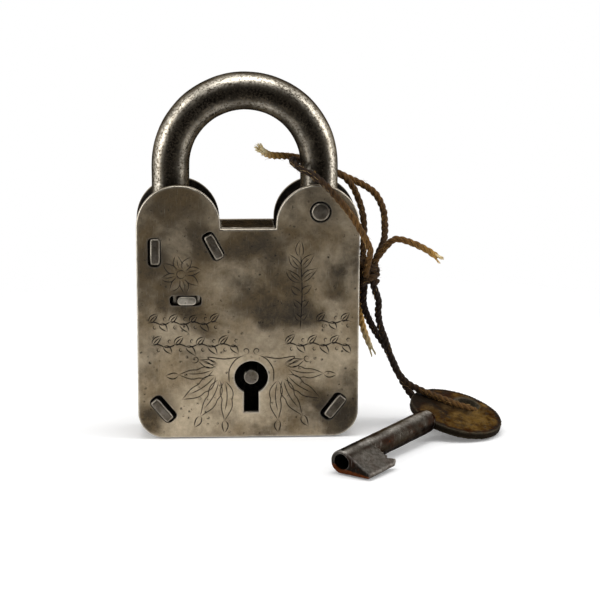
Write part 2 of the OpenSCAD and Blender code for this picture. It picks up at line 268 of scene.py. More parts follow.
def near(points: np.ndarray, centre: Sequence[float], reach: float) -> np.ndarray:
    """Gives 1 at the centre, falling smoothly towards 0 at about twice the reach."""
    away = np.linalg.norm(points - np.asarray(centre, float), axis=1) / reach
    return np.exp(-away * away)


# ---------------------------------------------------------------- finishes


@dataclass(frozen=True)
class WornMetal:
    """A bare metal that has been handled, tarnished and pitted.

    Masks come from noise and from what the meshes carry: wear_and_highlight is 1 on rubbed edges and
    on painted highlights, grime_and_shade 1 in corners, slots and painted shade, rust 1 where rust is
    heavy, tarnish_and_shade 1 in dark smudges and painted shade, and engraved near 1 along the middle of a
    cut.
    """

    name: str
    clean: str
    dull: str
    dark: str
    rust: str = "#5a3218"
    bright: str = "#c9c1b2"
    stain: str = "#6b573a"
    stain_share: float = 0.5
    blotch_mm: float = 16.0
    fleck_mm: float = 1.4
    fleck_share: float = 0.35
    fleck_from: float = 0.92
    pit_mm: float = 1.3
    pit_depth_mm: float = 0.05
    rust_share: float = 0.0
    rough_low: float = 0.30
    rough_high: float = 0.52
    scratch: float = 0.5
    speckle: float = 0.0
    dirt_and_shade_metal: float = 0.45
    edge_tint: str = "#ffffff"

    def build(self) -> bpy.types.Material:
        """Makes the material.

        Returns:
            The finished material.
        """
        material = bpy.data.materials.new(self.name)
        material.use_nodes = True
        tree = material.node_tree
        tree.nodes.clear()
        place = add_node(tree, "ShaderNodeTexCoord").outputs["Object"]
        paint = {
            key: add_node(tree, "ShaderNodeAttribute", attribute_name=key).outputs["Fac"]
            for key in ("wear_and_highlight", "grime_and_shade", "rust", "tarnish_and_shade", "engraved")
        }
        cloud = add_node(
            tree,
            "ShaderNodeTexNoise",
            {
                "Vector": place,
                "Scale": per_mm(self.blotch_mm),
                "Detail": 7.0,
                "Roughness": 0.62,
                "Distortion": 0.4,
            },
        ).outputs["Fac"]
        fleck = add_node(
            tree,
            "ShaderNodeTexNoise",
            {"Vector": place, "Scale": per_mm(self.fleck_mm), "Detail": 6.0, "Roughness": 0.68},
        ).outputs["Fac"]
        # Grit of 0.3 mm
        grit = add_node(
            tree,
            "ShaderNodeTexNoise",
            {"Vector": place, "Scale": per_mm(0.3), "Detail": 2.0, "Roughness": 0.6},
        ).outputs["Fac"]
        cells = add_node(
            tree, "ShaderNodeTexVoronoi", {"Vector": place, "Scale": per_mm(self.pit_mm), "Randomness": 1.0}
        ).outputs["Distance"]
        pits = add_node(
            tree,
            "ShaderNodeMapRange",
            {"Value": cells, "From Min": 0.10, "From Max": 0.34, "To Min": 1.0, "To Max": 0.0},
            interpolation_type="SMOOTHSTEP",
        ).outputs["Result"]
        pitted = add_node(
            tree,
            "ShaderNodeMapRange",
            {"Value": fleck, "From Min": 0.48, "From Max": 0.62},
            interpolation_type="SMOOTHSTEP",
        ).outputs["Result"]
        pits = add_node(tree, "ShaderNodeMath", {0: pits, 1: pitted}, operation="MULTIPLY").outputs[0]

        # Fine scratches: noise drawn out into lines
        drawn = add_node(
            tree,
            "ShaderNodeMapping",
            {"Vector": place, "Rotation": (0.3, 0.9, 0.4), "Scale": (per_mm(0.22), per_mm(3.0), per_mm(3.6))},
        ).outputs["Vector"]
        lines = add_node(
            tree, "ShaderNodeTexNoise", {"Vector": drawn, "Scale": 1.0, "Detail": 3.0, "Roughness": 0.5}
        ).outputs["Fac"]
        scored = add_node(
            tree,
            "ShaderNodeMapRange",
            {"Value": lines, "From Min": 0.62, "From Max": 0.72, "To Max": self.scratch},
        ).outputs["Result"]

        # Tarnish: soft clouds between the cleaner and the duller tone, duller in smudges and in painted shade
        smudges_and_shade = add_node(tree, "ShaderNodeMath", {0: paint["tarnish_and_shade"], 1: 0.42}, operation="MULTIPLY")
        cloudy = add_node(
            tree, "ShaderNodeMath", {0: cloud, 1: smudges_and_shade.outputs[0]}, operation="ADD"
        ).outputs[0]
        dulled = add_node(
            tree,
            "ShaderNodeMapRange",
            {"Value": cloudy, "From Min": 0.36, "From Max": 0.72},
            interpolation_type="SMOOTHSTEP",
        ).outputs["Result"]
        colour = add_node(
            tree, "ShaderNodeMix", {0: dulled, 6: linear(self.clean), 7: linear(self.dull)}, data_type="RGBA"
        ).outputs[2]
        # A warm brown stain in clouds of its own
        shifted = add_node(tree, "ShaderNodeMapping", {"Vector": place, "Location": (0.31, 0.17, 0.53)})
        warm = add_node(
            tree,
            "ShaderNodeTexNoise",
            {
                "Vector": shifted.outputs[0],
                "Scale": per_mm(self.blotch_mm * 0.8),
                "Detail": 5.0,
                "Roughness": 0.6,
            },
        ).outputs["Fac"]
        stained = add_node(
            tree,
            "ShaderNodeMapRange",
            {"Value": warm, "From Min": 0.40, "From Max": 0.66, "To Max": self.stain_share},
            interpolation_type="SMOOTHSTEP",
        ).outputs["Result"]
        colour = add_node(
            tree, "ShaderNodeMix", {0: stained, 6: colour, 7: linear(self.stain)}, data_type="RGBA"
        ).outputs[2]
        # Small uneven tones and pale scratches, then all that is dark: flecks, pits, smoke, grime and painted
        # shade, cuts
        mottled = add_node(
            tree,
            "ShaderNodeMapRange",
            {"Value": fleck, "From Min": 0.3, "From Max": 0.7, "To Min": 0.80, "To Max": 1.18},
        ).outputs["Result"]
        colour = add_node(
            tree, "ShaderNodeVectorMath", {0: colour, "Scale": mottled}, operation="SCALE"
        ).outputs[0]
        pale = add_node(tree, "ShaderNodeMath", {0: scored, 1: 0.32}, operation="MULTIPLY").outputs[0]
        colour = add_node(
            tree, "ShaderNodeMix", {0: pale, 6: colour, 7: linear(self.bright)}, data_type="RGBA"
        ).outputs[2]
        flecked = add_node(
            tree, "ShaderNodeMath", {0: cloudy, 1: 0.6, 2: fleck}, operation="MULTIPLY_ADD"
        ).outputs[0]
        flecks = add_node(
            tree,
            "ShaderNodeMapRange",
            {
                "Value": flecked,
                "From Min": self.fleck_from,
                "From Max": self.fleck_from + 0.18,
                "To Max": self.fleck_share * 2,
            },
            interpolation_type="SMOOTHSTEP",
        ).outputs["Result"]
        dirt_and_shade = add_node(tree, "ShaderNodeMath", {0: flecks, 1: pits}, operation="MAXIMUM").outputs[0]
        smoke = add_node(
            tree,
            "ShaderNodeTexNoise",
            {"Vector": place, "Scale": per_mm(3.4), "Detail": 9.0, "Roughness": 0.80, "Distortion": 0.5},
        ).outputs["Fac"]
        smoke_and_shade = add_node(
            tree,
            "ShaderNodeMapRange",
            {"Value": smoke, "From Min": 0.43, "From Max": 0.60, "To Min": 0.08, "To Max": 0.85},
            interpolation_type="SMOOTHSTEP",
        ).outputs["Result"]
        smoke_and_shade = add_node(
            tree, "ShaderNodeMath", {0: paint["tarnish_and_shade"], 1: smoke_and_shade}, operation="MULTIPLY"
        ).outputs[0]
        dirt_and_shade = add_node(tree, "ShaderNodeMath", {0: dirt_and_shade, 1: smoke_and_shade}, operation="MAXIMUM").outputs[0]
        ragged = add_node(
            tree,
            "ShaderNodeMapRange",
            {
                "Value": fleck,
                "From Min": 0.3 + 0.1 * self.speckle,
                "From Max": 0.7 - 0.1 * self.speckle,
                "To Min": 0.55 - 0.55 * self.speckle,
                "To Max": 1.35 + 0.4 * self.speckle,
            },
        ).outputs["Result"]
        grime_and_shade = add_node(
            tree, "ShaderNodeMath", {0: paint["grime_and_shade"], 1: ragged}, operation="MULTIPLY", use_clamp=True
        ).outputs[0]
        dirt_and_shade = add_node(tree, "ShaderNodeMath", {0: dirt_and_shade, 1: grime_and_shade}, operation="MAXIMUM").outputs[0]
        cut = add_node(
            tree, "ShaderNodeMath", {0: paint["engraved"], 1: 1.3}, operation="MULTIPLY", use_clamp=True
        ).outputs[0]
        dirt_and_shade = add_node(tree, "ShaderNodeMath", {0: dirt_and_shade, 1: cut}, operation="MAXIMUM").outputs[0]
        colour = add_node(
            tree, "ShaderNodeMix", {0: dirt_and_shade, 6: colour, 7: linear(self.dark)}, data_type="RGBA"
        ).outputs[2]

        # Rust: patches from the clouds, and wherever it is painted on
        rusty = add_node(
            tree, "ShaderNodeMath", {0: cloud, 1: fleck}, operation="MULTIPLY"
        ).outputs[0]
        rusty = add_node(
            tree, "ShaderNodeMath", {0: paint["rust"], 1: 0.5, 2: rusty}, operation="MULTIPLY_ADD"
        ).outputs[0]
        edge = 0.62 - 0.42 * self.rust_share
        rusted = add_node(
            tree,
            "ShaderNodeMapRange",
            {"Value": rusty, "From Min": edge, "From Max": edge + 0.12},
            interpolation_type="SMOOTHSTEP",
        ).outputs["Result"]
        rust_tone = add_node(
            tree, "ShaderNodeMix", {0: fleck, 6: linear(self.dark), 7: linear(self.rust)}, data_type="RGBA"
        ).outputs[2]
        colour = add_node(
            tree, "ShaderNodeMix", {0: rusted, 6: colour, 7: rust_tone}, data_type="RGBA"
        ).outputs[2]

        # Rubbed edges, and the bands painted as highlights, show bright metal again, broken up by the flecks
        rubbed_and_lit = add_node(
            tree,
            "ShaderNodeMath",
            {0: paint["wear_and_highlight"], 1: ragged},
            operation="MULTIPLY",
            use_clamp=True,
        ).outputs[0]
        colour = add_node(
            tree, "ShaderNodeMix", {0: rubbed_and_lit, 6: colour, 7: linear(self.bright)}, data_type="RGBA"
        ).outputs[2]

        rough = add_node(
            tree,
            "ShaderNodeMapRange",
            {
                "Value": cloudy,
                "From Min": 0.3,
                "From Max": 0.75,
                "To Min": self.rough_low,
                "To Max": self.rough_high,
            },
        ).outputs["Result"]
        covered = add_node(tree, "ShaderNodeMath", {0: dirt_and_shade, 1: rusted}, operation="MAXIMUM").outputs[0]
        rough = add_node(
            tree, "ShaderNodeMix", {0: covered, 2: rough, 3: 0.78}, data_type="FLOAT"
        ).outputs[0]
        rough = add_node(tree, "ShaderNodeMix", {0: rubbed_and_lit, 2: rough, 3: 0.26}, data_type="FLOAT").outputs[0]
        rough = add_node(
            tree, "ShaderNodeMath", {0: grit, 1: 0.12, 2: rough}, operation="MULTIPLY_ADD"
        ).outputs[0]
        metal = add_node(
            tree,
            "ShaderNodeMapRange",
            {"Value": covered, "To Min": 1.0, "To Max": self.dirt_and_shade_metal},
        ).outputs["Result"]

        height = add_node(
            tree, "ShaderNodeMath", {0: pits, 1: -1.0, 2: fleck}, operation="MULTIPLY_ADD"
        ).outputs[0]
        height = add_node(
            tree, "ShaderNodeMath", {0: grit, 1: 0.4, 2: height}, operation="MULTIPLY_ADD"
        ).outputs[0]
        height = add_node(
            tree, "ShaderNodeMath", {0: scored, 1: -0.3, 2: height}, operation="MULTIPLY_ADD"
        ).outputs[0]
        bump = add_node(
            tree,
            "ShaderNodeBump",
            {"Strength": 0.7, "Distance": self.pit_depth_mm * MM, "Height": height},
        ).outputs["Normal"]
        shader = add_node(
            tree,
            "ShaderNodeBsdfPrincipled",
            {
                "Base Color": colour,
                "Metallic": metal,
                "Roughness": rough,
                "Specular Tint": linear(self.edge_tint),
                "Normal": bump,
            },
        )
        add_node(tree, "ShaderNodeOutputMaterial", {"Surface": shader.outputs["BSDF"]})
        return material


@dataclass(frozen=True)
class JuteFibre:
    """Jute twine, retted and twisted, gone brown with oil and handling.

    It is matt and finely streaked, with painted shade between the plies, and palest where its tone is
    highest.
    """

    name: str = "jute_fibre"
    dark: str = "#1f1309"
    middle: str = "#69491f"
    golden: str = "#b88e49"
    pale: str = "#decfa6"
    streak_mm: float = 0.22
    streak_length_mm: float = 3.0

    def build(self) -> bpy.types.Material:
        """Makes the material.

        Returns:
            The finished material.
        """
        material = bpy.data.materials.new(self.name)
        material.use_nodes = True
        tree = material.node_tree
        tree.nodes.clear()
        along = add_node(tree, "ShaderNodeUVMap", uv_map="fibre").outputs["UV"]
        stretched = add_node(
            tree,
            "ShaderNodeMapping",
            {"Vector": along, "Scale": (1 / self.streak_mm, 1 / self.streak_length_mm, 1.0)},
        ).outputs["Vector"]
        streak = add_node(
            tree, "ShaderNodeTexNoise", {"Vector": stretched, "Scale": 1.0, "Detail": 4.0, "Roughness": 0.65}
        ).outputs["Fac"]
        place = add_node(tree, "ShaderNodeTexCoord").outputs["Object"]
        mottle = add_node(
            tree, "ShaderNodeTexNoise", {"Vector": place, "Scale": per_mm(2.2), "Detail": 4.0}
        ).outputs["Fac"]
        tone = add_node(tree, "ShaderNodeAttribute", attribute_name="tone").outputs["Fac"]
        groove = add_node(tree, "ShaderNodeAttribute", attribute_name="grime_and_shade").outputs["Fac"]
        mixed = add_node(
            tree, "ShaderNodeMath", {0: streak, 1: 0.8, 2: tone}, operation="MULTIPLY_ADD"
        ).outputs[0]
        mixed = add_node(
            tree, "ShaderNodeMath", {0: mottle, 1: 0.3, 2: mixed}, operation="MULTIPLY_ADD"
        ).outputs[0]
        low = add_node(
            tree, "ShaderNodeMapRange", {"Value": mixed, "From Min": 0.50, "From Max": 0.86}
        ).outputs["Result"]
        high = add_node(
            tree, "ShaderNodeMapRange", {"Value": mixed, "From Min": 0.86, "From Max": 1.18}
        ).outputs["Result"]
        tip = add_node(
            tree, "ShaderNodeMapRange", {"Value": mixed, "From Min": 1.2, "From Max": 1.6}
        ).outputs["Result"]
        colour = add_node(
            tree, "ShaderNodeMix", {0: low, 6: linear(self.dark), 7: linear(self.middle)}, data_type="RGBA"
        ).outputs[2]
        colour = add_node(
            tree, "ShaderNodeMix", {0: high, 6: colour, 7: linear(self.golden)}, data_type="RGBA"
        ).outputs[2]
        colour = add_node(
            tree, "ShaderNodeMix", {0: tip, 6: colour, 7: linear(self.pale)}, data_type="RGBA"
        ).outputs[2]
        # Painted shade in the creases between the plies
        colour = add_node(
            tree, "ShaderNodeMix", {0: groove, 6: colour, 7: linear(self.dark)}, data_type="RGBA"
        ).outputs[2]
        bump = add_node(
            tree, "ShaderNodeBump", {"Strength": 0.8, "Distance": 0.12 * MM, "Height": streak}
        ).outputs["Normal"]
        shader = add_node(
            tree,
            "ShaderNodeBsdfPrincipled",
            {
                "Base Color": colour,
                "Roughness": 0.85,
                "Sheen Weight": 0.05,
                "Sheen Roughness": 0.4,
                "Specular IOR Level": 0.25,
                "Normal": bump,
            },
        )
        add_node(tree, "ShaderNodeOutputMaterial", {"Surface": shader.outputs["BSDF"]})
        return material


@dataclass
class FinishSet:
    """All the finishes, one for each material slot."""

    made: dict[Slot, bpy.types.Material] = field(default_factory=dict)

    def build(self) -> None:
        """Makes every finish."""
        kinds = {
            # Hammered mild steel sheet, rubbed by hands: a warm grey with khaki tarnish in clouds
            Slot.PLATE: WornMetal(
                "tarnished_steel_plate", clean="#c3b399", dull="#635848", dark="#1c1712", stain="#7d694a",
                stain_share=0.55, blotch_mm=20.0, fleck_mm=1.3, fleck_share=0.28,
                pit_mm=2.4, pit_depth_mm=0.02,
                rough_low=0.33, rough_high=0.48, scratch=0.7,
            ),
            # The same sheet bent to a strip, seldom rubbed, so browner and duller
            Slot.BAND: WornMetal(
                "browned_steel_strip", clean="#80745f", dull="#4f4536", dark="#241c14", blotch_mm=9.0,
                fleck_mm=1.3, fleck_share=0.4, rust_share=0.25,
                rough_low=0.36, rough_high=0.6, dirt_and_shade_metal=0.9,
                edge_tint="#4a3a28",
            ),
            # Forged round bar: bright grey rubbed over brown pits, so its highlights are speckled
            Slot.SHACKLE: WornMetal(
                "pitted_forged_bar", clean="#958c7c", dull="#5b5347", dark="#15110d", stain="#4d4232",
                stain_share=0.4, blotch_mm=9.0, fleck_mm=0.8, fleck_share=0.4, fleck_from=0.82, pit_mm=0.8,
                pit_depth_mm=0.03, rough_low=0.10, rough_high=0.22, speckle=1.0,
                dirt_and_shade_metal=0.85, edge_tint="#7d766a",
            ),
            # Peened ends of posts and pins: dark hammered faces with rubbed bright rims
            Slot.RIVET: WornMetal(
                "peened_steel_rivet", clean="#6f685f", dull="#4a443c", dark="#100d0b", stain="#4f4434",
                bright="#b0a899", blotch_mm=4.0, fleck_mm=0.8, fleck_share=0.2, pit_mm=1.2,
                rough_low=0.3, rough_high=0.44,
            ),
            # Filed bolt iron, kept bright where it slides
            Slot.BOLT: WornMetal(
                "filed_bolt_iron", clean="#b5aea1", dull="#7c756a", dark="#2a2520", blotch_mm=5.0,
                fleck_mm=0.9, fleck_share=0.2, rough_low=0.25, rough_high=0.42,
            ),
            # Tempered strip with an oiled blue-grey skin
            Slot.SPRING: WornMetal(
                "oiled_spring_strip", clean="#5c6066", dull="#3f4144", dark="#1d1b1a", stain_share=0.1,
                blotch_mm=6.0, fleck_share=0.2, rough_low=0.28, rough_high=0.4,
            ),
            # Rolled sheet iron: dark grey scale with brown rust
            Slot.KEY: WornMetal(
                "rusted_sheet_iron", clean="#423d37", dull="#1f1a16", dark="#0b0806", rust="#743a14",
                stain="#2a1810", stain_share=0.8, bright="#b3aea6", blotch_mm=7.0, fleck_mm=1.1,
                fleck_share=0.4, fleck_from=0.86, pit_mm=1.1, pit_depth_mm=0.06, rust_share=0.28,
                rough_low=0.18, rough_high=0.36, scratch=0.7, speckle=0.3,
                dirt_and_shade_metal=0.6, edge_tint="#a19a90",
            ),
            # Plate iron under a brown and golden patina, faintly rubbed at the hole
            Slot.BOW: WornMetal(
                "golden_brown_patina", clean="#7c6444", dull="#2b2118", dark="#0d0906", rust="#6b3b16",
                stain="#301d0e", stain_share=0.85, bright="#a59982", blotch_mm=7.0, fleck_mm=1.4,
                fleck_share=0.4, fleck_from=0.84, pit_mm=1.2, pit_depth_mm=0.08, rust_share=0.2,
                rough_low=0.28, rough_high=0.44,
                edge_tint="#b5a88c",
            ),
        }
        for slot, kind in kinds.items():
            self.made[slot] = kind.build()
        self.made[Slot.JUTE] = JuteFibre().build()


# ---------------------------------------------------------------- worn copies of the solids


@dataclass
class WornSolid:
    """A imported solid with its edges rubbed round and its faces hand-made.

    The solid's own mesh is copied, skinned with small quads, relaxed and given dents. Its edges are
    then painted with wear and its corners with grime.
    """

    node: str
    body: Body
    slot: Slot
    grain: float = 0.4
    rounds: int = 3
    dent: float = 0.05
    dent_size: float = 5.0
    seed: float = 1.0
    wear_gain: float = 1.0
    smoke: float = 0.0

    def solid(self) -> bpy.types.Mesh:
        """Gives a copy of the solid's mesh."""
        return bpy.data.objects[self.node].data.copy()

    def skin(self) -> bpy.types.Object:
        """Gives the skinned, relaxed and dented copy.

        Returns:
            The new piece.
        """
        piece = bpy.data.objects.new(f"worn_{self.node}", self.solid())
        bpy.context.scene.collection.objects.link(piece)
        skinner = piece.modifiers.new("skin", "REMESH")
        skinner.mode = "VOXEL"
        skinner.voxel_size = self.grain * MM
        graph = bpy.context.evaluated_depsgraph_get()
        fine = bpy.data.meshes.new_from_object(piece.evaluated_get(graph))
        piece.modifiers.clear()
        piece.data = fine
        points = relax(piece, corners_of(piece), self.rounds, 0.5)
        set_corners(piece, points)
        swell = ripple(points, self.dent_size, self.seed)
        swell = swell + 0.4 * ripple(points, self.dent_size / 3, self.seed + 5)
        set_corners(piece, points + normals_of(piece) * (swell * self.dent)[:, None])
        fine.shade_smooth()
        return piece

    def paint(self, piece: bpy.types.Object) -> dict[str, np.ndarray]:
        """Gives the masks by name: wear on sharp edges and grime in tight corners.

        Args:
            piece: The skinned copy.

        Returns:
            A value a corner for each mask.
        """
        points = corners_of(piece)
        flat = relax(piece, points, 8, 0.6)
        ridge = ((points - flat) * normals_of(piece)).sum(axis=1) / self.grain
        return {
            "wear_and_highlight": np.clip((ridge - 0.10) * 2.6 * self.wear_gain, 0, 1),
            "grime_and_shade": np.clip((-ridge - 0.06) * 4.0, 0, 1),
            "rust": np.zeros(len(points)),
            "tarnish_and_shade": np.full(len(points), self.smoke),
        }

    def build(self, finishes: FinishSet) -> bpy.types.Object:
        """Makes the piece in place of its solid.

        Args:
            finishes: The finishes to choose from.

        Returns:
            The piece.
        """
        piece = self.skin()
        for key, values in self.paint(piece).items():
            layer = piece.data.attributes.new(key, "FLOAT", "POINT")
            layer.data.foreach_set("value", values.astype(np.float32))
        return place_piece(piece, self.body, finishes.made[self.slot], self.slot, self.node)


@dataclass
class Shackle(WornSolid):
    """The forged bar: rubbed bright beside the middle of each face, with painted highlights there and a
    painted dark reflection down the middle, and darker where it enters the case.
    """

    case_top: float = 73.0
    arch_z: float = 92.6

    def paint(self, piece: bpy.types.Object) -> dict[str, np.ndarray]:
        """Adds darkening below the shoulders, a dark band down the middle of each face that is dirt and
        painted dark reflection, and bright bands beside it that are rubbed wear and painted highlights.

        Args:
            piece: The skinned copy.

        Returns:
            A value a corner for each mask.
        """
        masks = super().paint(piece)
        points, facing = corners_of(piece), normals_of(piece)
        above = points[points[:, 2] > self.arch_z]
        arch_x = (above[:, 0].min() + above[:, 0].max()) / 2
        out = np.column_stack([points[:, 0] - arch_x, np.clip(points[:, 2] - self.arch_z, 0, None)])
        out /= np.linalg.norm(out, axis=1)[:, None].clip(0.1)
        outward = (facing[:, [0, 2]] * out).sum(axis=1)
        # How far round the bar from its outermost line, in degrees: 90 is the middle of a face
        round_bar = np.degrees(np.arccos(np.clip(outward, -1, 1)))
        below = np.clip((self.case_top - 1.0 - points[:, 2]) / 6.0, 0, 1)
        uneven = 0.75 + 0.5 * ripple(points, 7.0, 9.0)
        # Bright bands near 44 and 126 degrees are rubbed wear and painted highlights; the middle of each face
        # and the outermost and innermost lines are darkened, part dirt and part painted dark reflection
        outer = np.exp(-(((round_bar - 44) / 15) ** 2))
        inner = 0.5 * np.exp(-(((round_bar - 126) / 13) ** 2))
        face = np.exp(-(((round_bar - 86) / 22) ** 2))
        rims = np.exp(-((round_bar / 26) ** 2)) + 1.3 * np.exp(-(((180 - round_bar) / 34) ** 2))
        masks["wear_and_highlight"] = np.clip(0.5 * masks["wear_and_highlight"] + (outer + inner) * uneven, 0, 1) * (1 - below)
        masks["grime_and_shade"] = np.maximum(masks["grime_and_shade"], np.maximum(0.55 * below, 0.95 * face * uneven))
        masks["grime_and_shade"] = np.clip(np.maximum(masks["grime_and_shade"], 0.7 * rims), 0, 1)
        masks["tarnish_and_shade"] = np.clip(0.35 + 0.5 * ripple(points, 14.0, 3.0) + 0.5 * face, 0, 1)
        return masks


@dataclass
class KeyPart(WornSolid):
    """A part of the key, in the key's own frame: X along the pipe from its mouth, -Y to the bit."""

    place: tuple[float, float, float] = (28.2, -52.8, 4.05)
    turn: float = 50.7
    rise: float = 2.1
    lean: float = 15.0

    def frame(self) -> Matrix:
        """Gives the matrix from the key's frame to the row's, in millimetres.

        Returns:
            The matrix.
        """
        return (
            Matrix.Translation(Vector(self.place))
            @ Matrix.Rotation(math.radians(self.turn), 4, "Z")
            @ Matrix.Rotation(math.radians(-self.rise), 4, "Y")
            @ Matrix.Rotation(math.radians(self.lean), 4, "X")
        )

    def local(self, points: np.ndarray) -> np.ndarray:
        """Gives the points in the key's own frame."""
        back = np.array(self.frame().inverted())
        return points @ back[:3, :3].T + back[:3, 3]


@dataclass
class KeyPipe(KeyPart):
    """The rolled pipe with its folded bit: rusty at the mouth and at the bit's far end."""

    bit_length: float = 14.1
    bit_reach: float = 11.6
    bore_r: float = 2.7

    def solid(self) -> bpy.types.Mesh:
        """Gives the pipe with its seam filled along the bit, so that the bore is round there.

        Returns:
            The mesh.
        """
        mesh = super().solid()
        turn = np.radians(np.linspace(-75, 75, 13))
        flat = [(-self.bore_r * math.cos(a), self.bore_r * math.sin(a)) for a in turn]
        flat += [(-8.2, 0.7), (-8.2, -0.7)]
        ends = [Vector((x, y, z)) for x in (0.15, self.bit_length - 0.6) for y, z in flat]
        shape = bmesh.new()
        shape.from_mesh(mesh)
        placed = [shape.verts.new(self.frame() @ p * MM) for p in ends]
        n = len(flat)
        shape.faces.new(placed[:n])
        shape.faces.new(placed[n:][::-1])
        for i in range(n):
            j = (i + 1) % n
            shape.faces.new((placed[j], placed[i], placed[n + i], placed[n + j]))
        shape.to_mesh(mesh)
        shape.free()
        return mesh

    def skin(self) -> bpy.types.Object:
        """Adds a torn edge at the bit's end towards the bow.

        Returns:
            The new piece.
        """
        piece = super().skin()
        points = corners_of(piece)
        own = self.local(points)
        torn = np.clip(1 - np.abs(own[:, 0] - self.bit_length) / 1.6, 0, 1)
        torn = torn * np.clip((-own[:, 1] - 4.0) / 1.5, 0, 1)
        along = np.array(self.frame().to_3x3() @ Vector((1, 0, 0)))
        ragged = 2.1 * ripple(own * (1, 1, 0.3), 2.0, 3.0) + 1.1 * ripple(own * (1, 1, 0.3), 0.9, 5.0)
        spur = 2.6 * near(own * (0, 1, 0), (0, -self.bit_reach + 1.4, 0), 0.9)
        set_corners(piece, points + (torn * (ragged + spur))[:, None] * along)
        return piece

    def paint(self, piece: bpy.types.Object) -> dict[str, np.ndarray]:
        """Adds rust at the mouth, the bit's far end and beyond it, a bright crest that is a painted
        highlight, and painted shade underneath and in the bore.

        Args:
            piece: The skinned copy.

        Returns:
            A value a corner for each mask.
        """
        masks = super().paint(piece)
        own = self.local(corners_of(piece))
        from_axis = np.hypot(own[:, 1], own[:, 2])
        mouth = np.exp(-((own[:, 0] / 0.9) ** 2))
        flank = -1.6 + 1.5 * np.clip((-own[:, 1] - 2.5) / 8.5, 0, 1)
        lower = mouth * np.clip((flank - own[:, 2]) / 0.5, 0, 1)
        # Painted shade inside the bore
        inside = np.clip(3.2 - from_axis, 0, 1) * (own[:, 0] < 35)
        heel = near(own, (self.bit_length, -5.0, 0.0), 3.0)
        masks["rust"] = np.clip(1.3 * lower + 0.35 * mouth + 0.5 * heel, 0, 1.3)
        masks["wear_and_highlight"] = np.clip(masks["wear_and_highlight"] * (1 - lower) * (1 - 0.7 * mouth), 0, 1)
        masks["grime_and_shade"] = np.maximum(masks["grime_and_shade"], np.clip(inside * (own[:, 0] - 0.6) / 1.5, 0, 1))
        # Darker towards the underside as painted shade, and tarnished at the mouth
        masks["tarnish_and_shade"] = np.clip(-own[:, 2] / 3.0, 0, 1) + 0.35 * mouth
        # Painted shade under the pipe and the bit
        under = np.clip((0.6 - own[:, 2]) / 2.4, 0, 1) * np.clip((own[:, 0] - 1.0) / 3.0, 0, 1)
        masks["grime_and_shade"] = np.maximum(masks["grime_and_shade"], 0.62 * under)
        flank = np.exp(-(((own[:, 2] - 1.8) / 1.5) ** 2)) * (own[:, 1] < 0) * (own[:, 0] > self.bit_length)
        masks["rust"] = np.maximum(masks["rust"], 0.42 * flank)
        sheet = np.clip((-own[:, 1] - 2.0) / 2.0, 0, 1) * (own[:, 2] > 0) * (own[:, 0] > 0.6)
        masks["wear_and_highlight"] = np.maximum(masks["wear_and_highlight"], 0.18 * sheet * (own[:, 0] < self.bit_length + 1))
        # A bright crest in patches along the pipe's top: painted highlight
        round_pipe = np.degrees(np.arctan2(own[:, 2], -own[:, 1]))
        crest = np.exp(-(((round_pipe - 86) / 17) ** 2)) * (from_axis > 3.4)
        patchy = 0.6 + 0.7 * ripple(own * (0.4, 1, 1), 3.0, 4.0)
        masks["wear_and_highlight"] = np.maximum(masks["wear_and_highlight"], 0.95 * crest * patchy)
        return masks


@dataclass
class KeyBow(KeyPart):
    """The oval bow plate: a dark rim, and at the hole a faintly rubbed edge, with its wall and far side
    painted dark as shade.
    """

    hole: tuple[float, float] = (73.3, -2.5)
    hole_d: float = 9.0

    def paint(self, piece: bpy.types.Object) -> dict[str, np.ndarray]:
        """Adds the hole's rubbed edge, painted shade on its wall and far side, and the plate's dark side and
        rim.

        Args:
            piece: The skinned copy.

        Returns:
            A value a corner for each mask.
        """
        masks = super().paint(piece)
        own = self.local(corners_of(piece))
        ring = np.hypot(own[:, 0] - self.hole[0], own[:, 1] - self.hole[1]) - self.hole_d / 2
        masks["wear_and_highlight"] = np.maximum(0.15 * masks["wear_and_highlight"], 0.25 * np.exp(-((ring / 0.4) ** 2)))
        middle = np.hypot((own[:, 0] - 65.5) / 15.0, (own[:, 1] + 3.0) / 16.5)
        side = 1 - np.clip(np.abs(own[:, 2]) / 1.0, 0, 1)
        rim = np.clip((middle - 0.87) / 0.13, 0, 1)
        masks["tarnish_and_shade"] = np.clip(0.9 * side + 0.8 * rim + 0.9 * near(own, (64.0, 10.0, 1.0), 8.0), 0, 1)
        # Painted shade on the hole's wall and on its far rim
        wall = np.maximum(
            (ring < 0.25) * (np.abs(own[:, 2]) < 1.1),
            np.exp(-((ring / 0.8) ** 2)) * (own[:, 1] > -3.5),
        )
        masks["grime_and_shade"] = np.maximum(masks["grime_and_shade"], np.maximum(0.5 * side, wall))
        return masks


# ---------------------------------------------------------------- posts and pins


